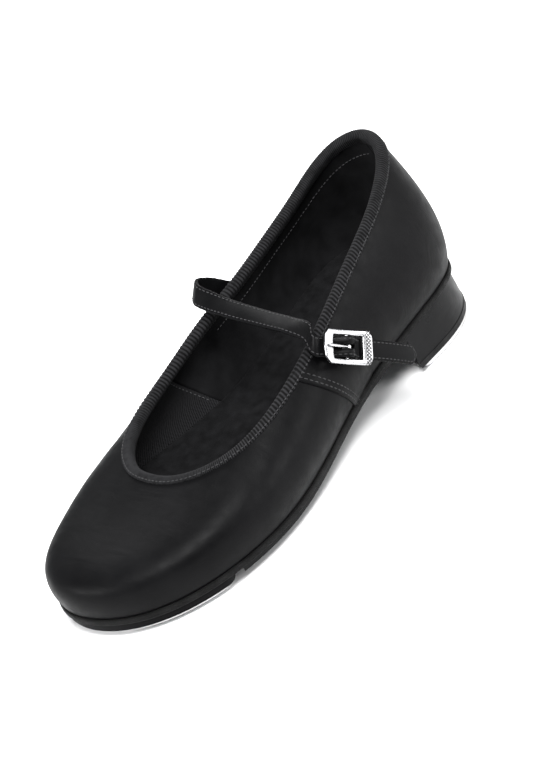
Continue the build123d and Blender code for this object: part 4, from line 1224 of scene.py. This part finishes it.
def by_angle(outline, angles):
    """Outline points seen from its centre at given angles."""
    own = np.unwrap(np.arctan2(outline[:, 1], outline[:, 0]))
    order = np.argsort(np.mod(own, 2 * pi))
    own = np.mod(own, 2 * pi)[order]
    ring = outline[order]
    own = np.concatenate([own - 2 * pi, own, own + 2 * pi])
    ring = np.concatenate([ring, ring, ring])
    return np.stack([np.interp(angles, own, ring[:, k]) for k in range(2)], -1)


def build_buckle(scene):
    """Bright buckle frame: rounded bars, pointed front corners, bowed to the foot."""
    half = FRAME_LENGTH / 2
    outer_side = WINDOW_SIDE + FRAME_RAIL
    nose = outer_side * 0.62
    corners = [(-half - 0.6, 0), (-half, nose), (-half + 2.6, outer_side), (half - 1.2, outer_side),
               (half, nose), (half, -nose), (half - 1.2, -outer_side), (-half + 2.6, -outer_side),
               (-half, -nose)]
    window = [(-WINDOW_LENGTH / 2, WINDOW_SIDE), (WINDOW_LENGTH / 2, WINDOW_SIDE),
              (WINDOW_LENGTH / 2, -WINDOW_SIDE), (-WINDOW_LENGTH / 2, -WINDOW_SIDE)]
    count = 360
    angles = np.linspace(0, 2 * pi, count, endpoint=False)
    outside = by_angle(rounded_outline(corners[::-1], 0.7, 1500), angles)
    inside = by_angle(rounded_outline(window[::-1], 0.6, 1500), angles)
    sections = []
    for a, b in [(cos(q), sin(q)) for q in np.linspace(0, 2 * pi, 20, endpoint=False)]:
        across = np.sign(a) * abs(a) ** 0.5
        height = np.sign(b) * abs(b) ** 0.5 * FRAME_THICKNESS / 2
        plan = (outside + inside) / 2 + (outside - inside) / 2 * across
        bow = FRAME_BOW * (plan[:, 0] / half) ** 2
        flat = LONG_WAY * plan[:, :1] + CROSS_WAY * plan[:, 1:]
        sections.append(BAR + flat + FACE * (bow + height)[:, None])
    sections = np.stack(sections, 1)
    ring = tube("buckle_frame_bright", sections, np.zeros(count), True)
    layer = ring.data.uv_layers["surface"]
    flat = np.array([vertex.co for vertex in ring.data.vertices]) / MM - SHIFT - BAR
    plan = np.stack([flat @ LONG_WAY, flat @ CROSS_WAY], -1)
    for loop in ring.data.loops:
        layer.data[loop.index].uv = plan[loop.vertex_index]
    metal = material("buckle_bright_metal", buckle_metal, scene.shoe_metal)
    finish(ring, metal, "buckle", "buckle_metal", "buckle_frame")


# ---- finishes of the hard parts ----
def paint_node(name, paint):
    """Gives a part of the frame its material."""
    node = frame["nodes"][name]
    node.data.materials.clear()
    node.data.materials.append(paint)


def screw_centres(name):
    """Centres in plan of the separate screws of a node."""
    work = bmesh.new()
    work.from_mesh(frame["nodes"][name].data)
    bmesh.ops.remove_doubles(work, verts=work.verts, dist=1e-6)
    points = np.array([vertex.co for vertex in work.verts])
    work.free()
    centres = []
    for point in points:
        near = [c for c in centres if np.hypot(*(point[:2] - c[0])) < 0.008]
        if near:
            near[0][1].append(point[:2])
        else:
            centres.append((point[:2].copy(), [point[:2]]))
    return [tuple((np.min(group, axis=0) + np.max(group, axis=0)) / 2) for _, group in centres]


def build_hard_parts(scene):
    """Materials of sole, heel, taps, screws and inner parts."""
    sole = scene.shoe_sole
    metal = scene.shoe_metal
    smooth = material("sole_edge_black", rubber, sole.colour, 0.42)
    paint_node("midsole", smooth)
    paint_node("outsole", smooth)
    paint_node("heel_lift", material("heel_lift_black", rubber, (0.008, 0.008, 0.008), 0.5))
    board = material("tap_board_black", leather, scene.shoe_upper, 1.6, False)
    paint_node("toe_tap_board", board)
    cover = Finish("heel_cover_black", (0.0045, 0.0045, 0.0048), 0.34)
    cover.put(Specular_IOR_Level=0.09)
    space = cover.mapped("Object", (1, 1, 1))
    cover.shade(cover.noise(space, 60, 4), 0.7, 1.5)
    cover.gloss(cover.noise(space, 200, 5), 0.27, 0.43)
    cover.bump(cover.noise(cover.mapped("Object", (0.4, 0.4, 1.4)), 260, 4), 0.0003, 0.35)
    cover.bump(cover.noise(space, 2600, 3), 0.00005, 0.3)
    paint_node("heel_block", cover.material)
    paint_node("toe_tap", tap_grime_and_dish_shade("toe_tap_metal", metal, screw_centres("toe_tap_screws")))
    paint_node("heel_tap", tap_grime_and_dish_shade("heel_tap_metal", metal, screw_centres("heel_tap_screws")))
    screw = satin_metal("screw_bright", (0.66, 0.66, 0.68), 0.26, (1, 1, 1), 0.3).material
    for name in ("toe_tap_screws", "heel_tap_screws"):
        paint_node(name, screw)
    bright = satin_metal("buckle_wire_bright", metal.buckle_colour, 0.2, (1, 1, 1), 0.2).material
    for name in ("buckle_bar", "buckle_prong"):
        paint_node(name, bright)
    paint_node("buckle_chape", material("strap_leather", leather, scene.shoe_upper, 1.3, False))
    steel = satin_metal("spring_steel", (0.5, 0.5, 0.52), 0.4, (0.3, 2, 1), 0.6).material
    for name in ("shank", "shank_rivets", "heel_nails", "heel_screw"):
        paint_node(name, steel)
    stiff = material("stiffener_board", suede, (0.52, 0.47, 0.38))
    for name in ("toe_puff", "heel_counter", "insole_board"):
        paint_node(name, stiff)
    felt = material("filler_felt", suede, (0.30, 0.28, 0.25))
    for name in ("bottom_filler", "cushion_pad"):
        paint_node(name, felt)


# ---- stage ----
EYE = (1.0255, -0.8158, 0.7751)
AHEAD = (-0.6987, 0.5028, -0.5090)
UP = (-0.1374, 0.6039, 0.7851)


def soft_light(name, place, aim, size, power, colour=(1, 1, 1)):
    """Rectangular soft light aimed at a point."""
    lamp = bpy.data.lights.new(name, "AREA")
    lamp.shape = "RECTANGLE"
    lamp.size, lamp.size_y = size
    lamp.energy = power
    lamp.color = colour
    obj = bpy.data.objects.new(name, lamp)
    obj.location = place
    obj.rotation_euler = (Vector(aim) - Vector(place)).to_track_quat("-Z", "Y").to_euler()
    bpy.context.scene.collection.objects.link(obj)


def build_stage(scene):
    """Pale floor, soft light all round and the camera."""
    settings = scene.shoe_stage
    mesh = bpy.data.meshes.new("floor")
    half = 3.0
    corners = [(-half, -half, 0), (half, -half, 0), (half, half, 0), (-half, half, 0)]
    mesh.from_pydata(corners, [], [(0, 1, 2, 3)])
    floor = bpy.data.objects.new("floor", mesh)
    scene.collection.objects.link(floor)
    pale = Finish("pale_floor", settings.floor_colour, 0.6)
    pale.shade(pale.noise(pale.mapped("Object", (1, 1, 1)), 3, 2), 0.98, 1.02)
    mesh.materials.append(pale.material)
    world = bpy.data.worlds.new("studio")
    world.use_nodes = True
    world.node_tree.nodes["Background"].inputs["Color"].default_value = (0.95, 0.97, 1.0, 1)
    world.node_tree.nodes["Background"].inputs["Strength"].default_value = 0.42
    scene.world = world
    scene.view_settings.view_transform = "Standard"
    power = settings.key_power
    soft_light("key", (0.5, -0.2, 1.2), (0, 0, 0.04), (0.9, 0.6), power)
    soft_light("side", (1.1, 0.9, 0.5), (0, 0.02, 0.04), (0.8, 0.5), power * 0.45)
    soft_light("front", (-0.5, -1.2, 0.6), (0, -0.03, 0.03), (0.9, 0.5), power * 0.5)
    soft_light("back", (-0.9, 0.9, 0.9), (0, 0, 0.05), (0.9, 0.5), power * 0.5)
    view = bpy.data.cameras.new("camera")
    view.sensor_fit = "HORIZONTAL"
    view.sensor_width = 36.0
    view.lens = settings.lens
    view.clip_start = 0.05
    camera = bpy.data.objects.new("camera", view)
    ahead, up = Vector(AHEAD).normalized(), Vector(UP).normalized()
    right = ahead.cross(up).normalized()
    up = right.cross(ahead)
    turn = Matrix((right, up, -ahead)).transposed().to_4x4()
    eye = Vector(EYE) + Vector((SHIFT[0] * MM, SHIFT[1] * MM, 0))
    camera.matrix_world = Matrix.Translation(eye) @ turn
    scene.collection.objects.link(camera)
    scene.camera = camera


# ---- operators and panel ----
class SHOE_OT_stage(Operator):
    """Lay the floor and set the soft lights and the camera"""

    bl_idname = "shoe.stage"
    bl_label = "Stage"

    def execute(self, context):
        build_stage(context.scene)
        return {"FINISHED"}


class SHOE_OT_hard_parts(Operator):
    """Finish the sole, heel, taps, screws and inner parts"""

    bl_idname = "shoe.hard_parts"
    bl_label = "Hard Parts"

    def execute(self, context):
        build_hard_parts(context.scene)
        return {"FINISHED"}


class SHOE_OT_upper(Operator):
    """Make the leather vamp and quarters"""

    bl_idname = "shoe.upper"
    bl_label = "Upper"

    def execute(self, context):
        build_upper(context.scene)
        return {"FINISHED"}


class SHOE_OT_linings(Operator):
    """Make the mesh and suede linings"""

    bl_idname = "shoe.linings"
    bl_label = "Linings"

    def execute(self, context):
        build_linings(context.scene)
        return {"FINISHED"}


class SHOE_OT_binding(Operator):
    """Make the ribbed tape round the collar"""

    bl_idname = "shoe.binding"
    bl_label = "Binding"

    def execute(self, context):
        build_binding(context.scene)
        return {"FINISHED"}


class SHOE_OT_sock(Operator):
    """Make the insole sock"""

    bl_idname = "shoe.sock"
    bl_label = "Sock"

    def execute(self, context):
        build_sock(context.scene)
        return {"FINISHED"}


class SHOE_OT_rand(Operator):
    """Make the textured band round the sole"""

    bl_idname = "shoe.rand"
    bl_label = "Rand"

    def execute(self, context):
        build_rand(context.scene)
        return {"FINISHED"}


class SHOE_OT_tread(Operator):
    """Make the diamond tread of the rubber sole"""

    bl_idname = "shoe.tread"
    bl_label = "Tread"

    def execute(self, context):
        build_tread(context.scene)
        return {"FINISHED"}


class SHOE_OT_strap(Operator):
    """Make the strap with its end and stitches"""

    bl_idname = "shoe.strap"
    bl_label = "Strap"

    def execute(self, context):
        build_strap(context.scene)
        return {"FINISHED"}


class SHOE_OT_buckle(Operator):
    """Make the bright buckle frame"""

    bl_idname = "shoe.buckle"
    bl_label = "Buckle"

    def execute(self, context):
        build_buckle(context.scene)
        return {"FINISHED"}


class SHOE_OT_stitching(Operator):
    """Sew the binding, the seams and the linings"""

    bl_idname = "shoe.stitching"
    bl_label = "Stitching"

    def execute(self, context):
        build_stitching(context.scene)
        return {"FINISHED"}


STEPS = [SHOE_OT_stage, SHOE_OT_hard_parts, SHOE_OT_upper, SHOE_OT_linings, SHOE_OT_binding,
         SHOE_OT_sock, SHOE_OT_rand, SHOE_OT_tread, SHOE_OT_strap, SHOE_OT_buckle, SHOE_OT_stitching]


SETTINGS = {"shoe_upper": UpperSettings, "shoe_thread": ThreadSettings, "shoe_sole": SoleSettings,
            "shoe_metal": MetalSettings, "shoe_stage": StageSettings}


class SHOE_PT_builder(Panel):
    """Lists the steps and the settings of the shoe"""

    bl_label = "Tap Shoe"
    bl_space_type = "VIEW_3D"
    bl_region_type = "UI"
    bl_category = "Tap Shoe"

    def draw(self, context):
        for kind in STEPS:
            self.layout.operator(kind.bl_idname)
        for name, kind in SETTINGS.items():
            box = self.layout.box()
            for field in kind.__annotations__:
                box.prop(getattr(context.scene, name), field)


def register():
    """Registers settings, steps and panel."""
    for name, kind in SETTINGS.items():
        bpy.utils.register_class(kind)
        setattr(bpy.types.Scene, name, PointerProperty(type=kind))
    for kind in [*STEPS, SHOE_PT_builder]:
        bpy.utils.register_class(kind)


def unregister():
    """Removes them again."""
    for kind in reversed([*STEPS, SHOE_PT_builder]):
        bpy.utils.unregister_class(kind)
    for name, kind in SETTINGS.items():
        delattr(bpy.types.Scene, name)
        bpy.utils.unregister_class(kind)


def main():
    """Runs every step."""
    register()
    for kind in STEPS:
        group, action = kind.bl_idname.split(".")
        getattr(getattr(bpy.ops, group), action)()


if __name__ == "__main__":
    main()
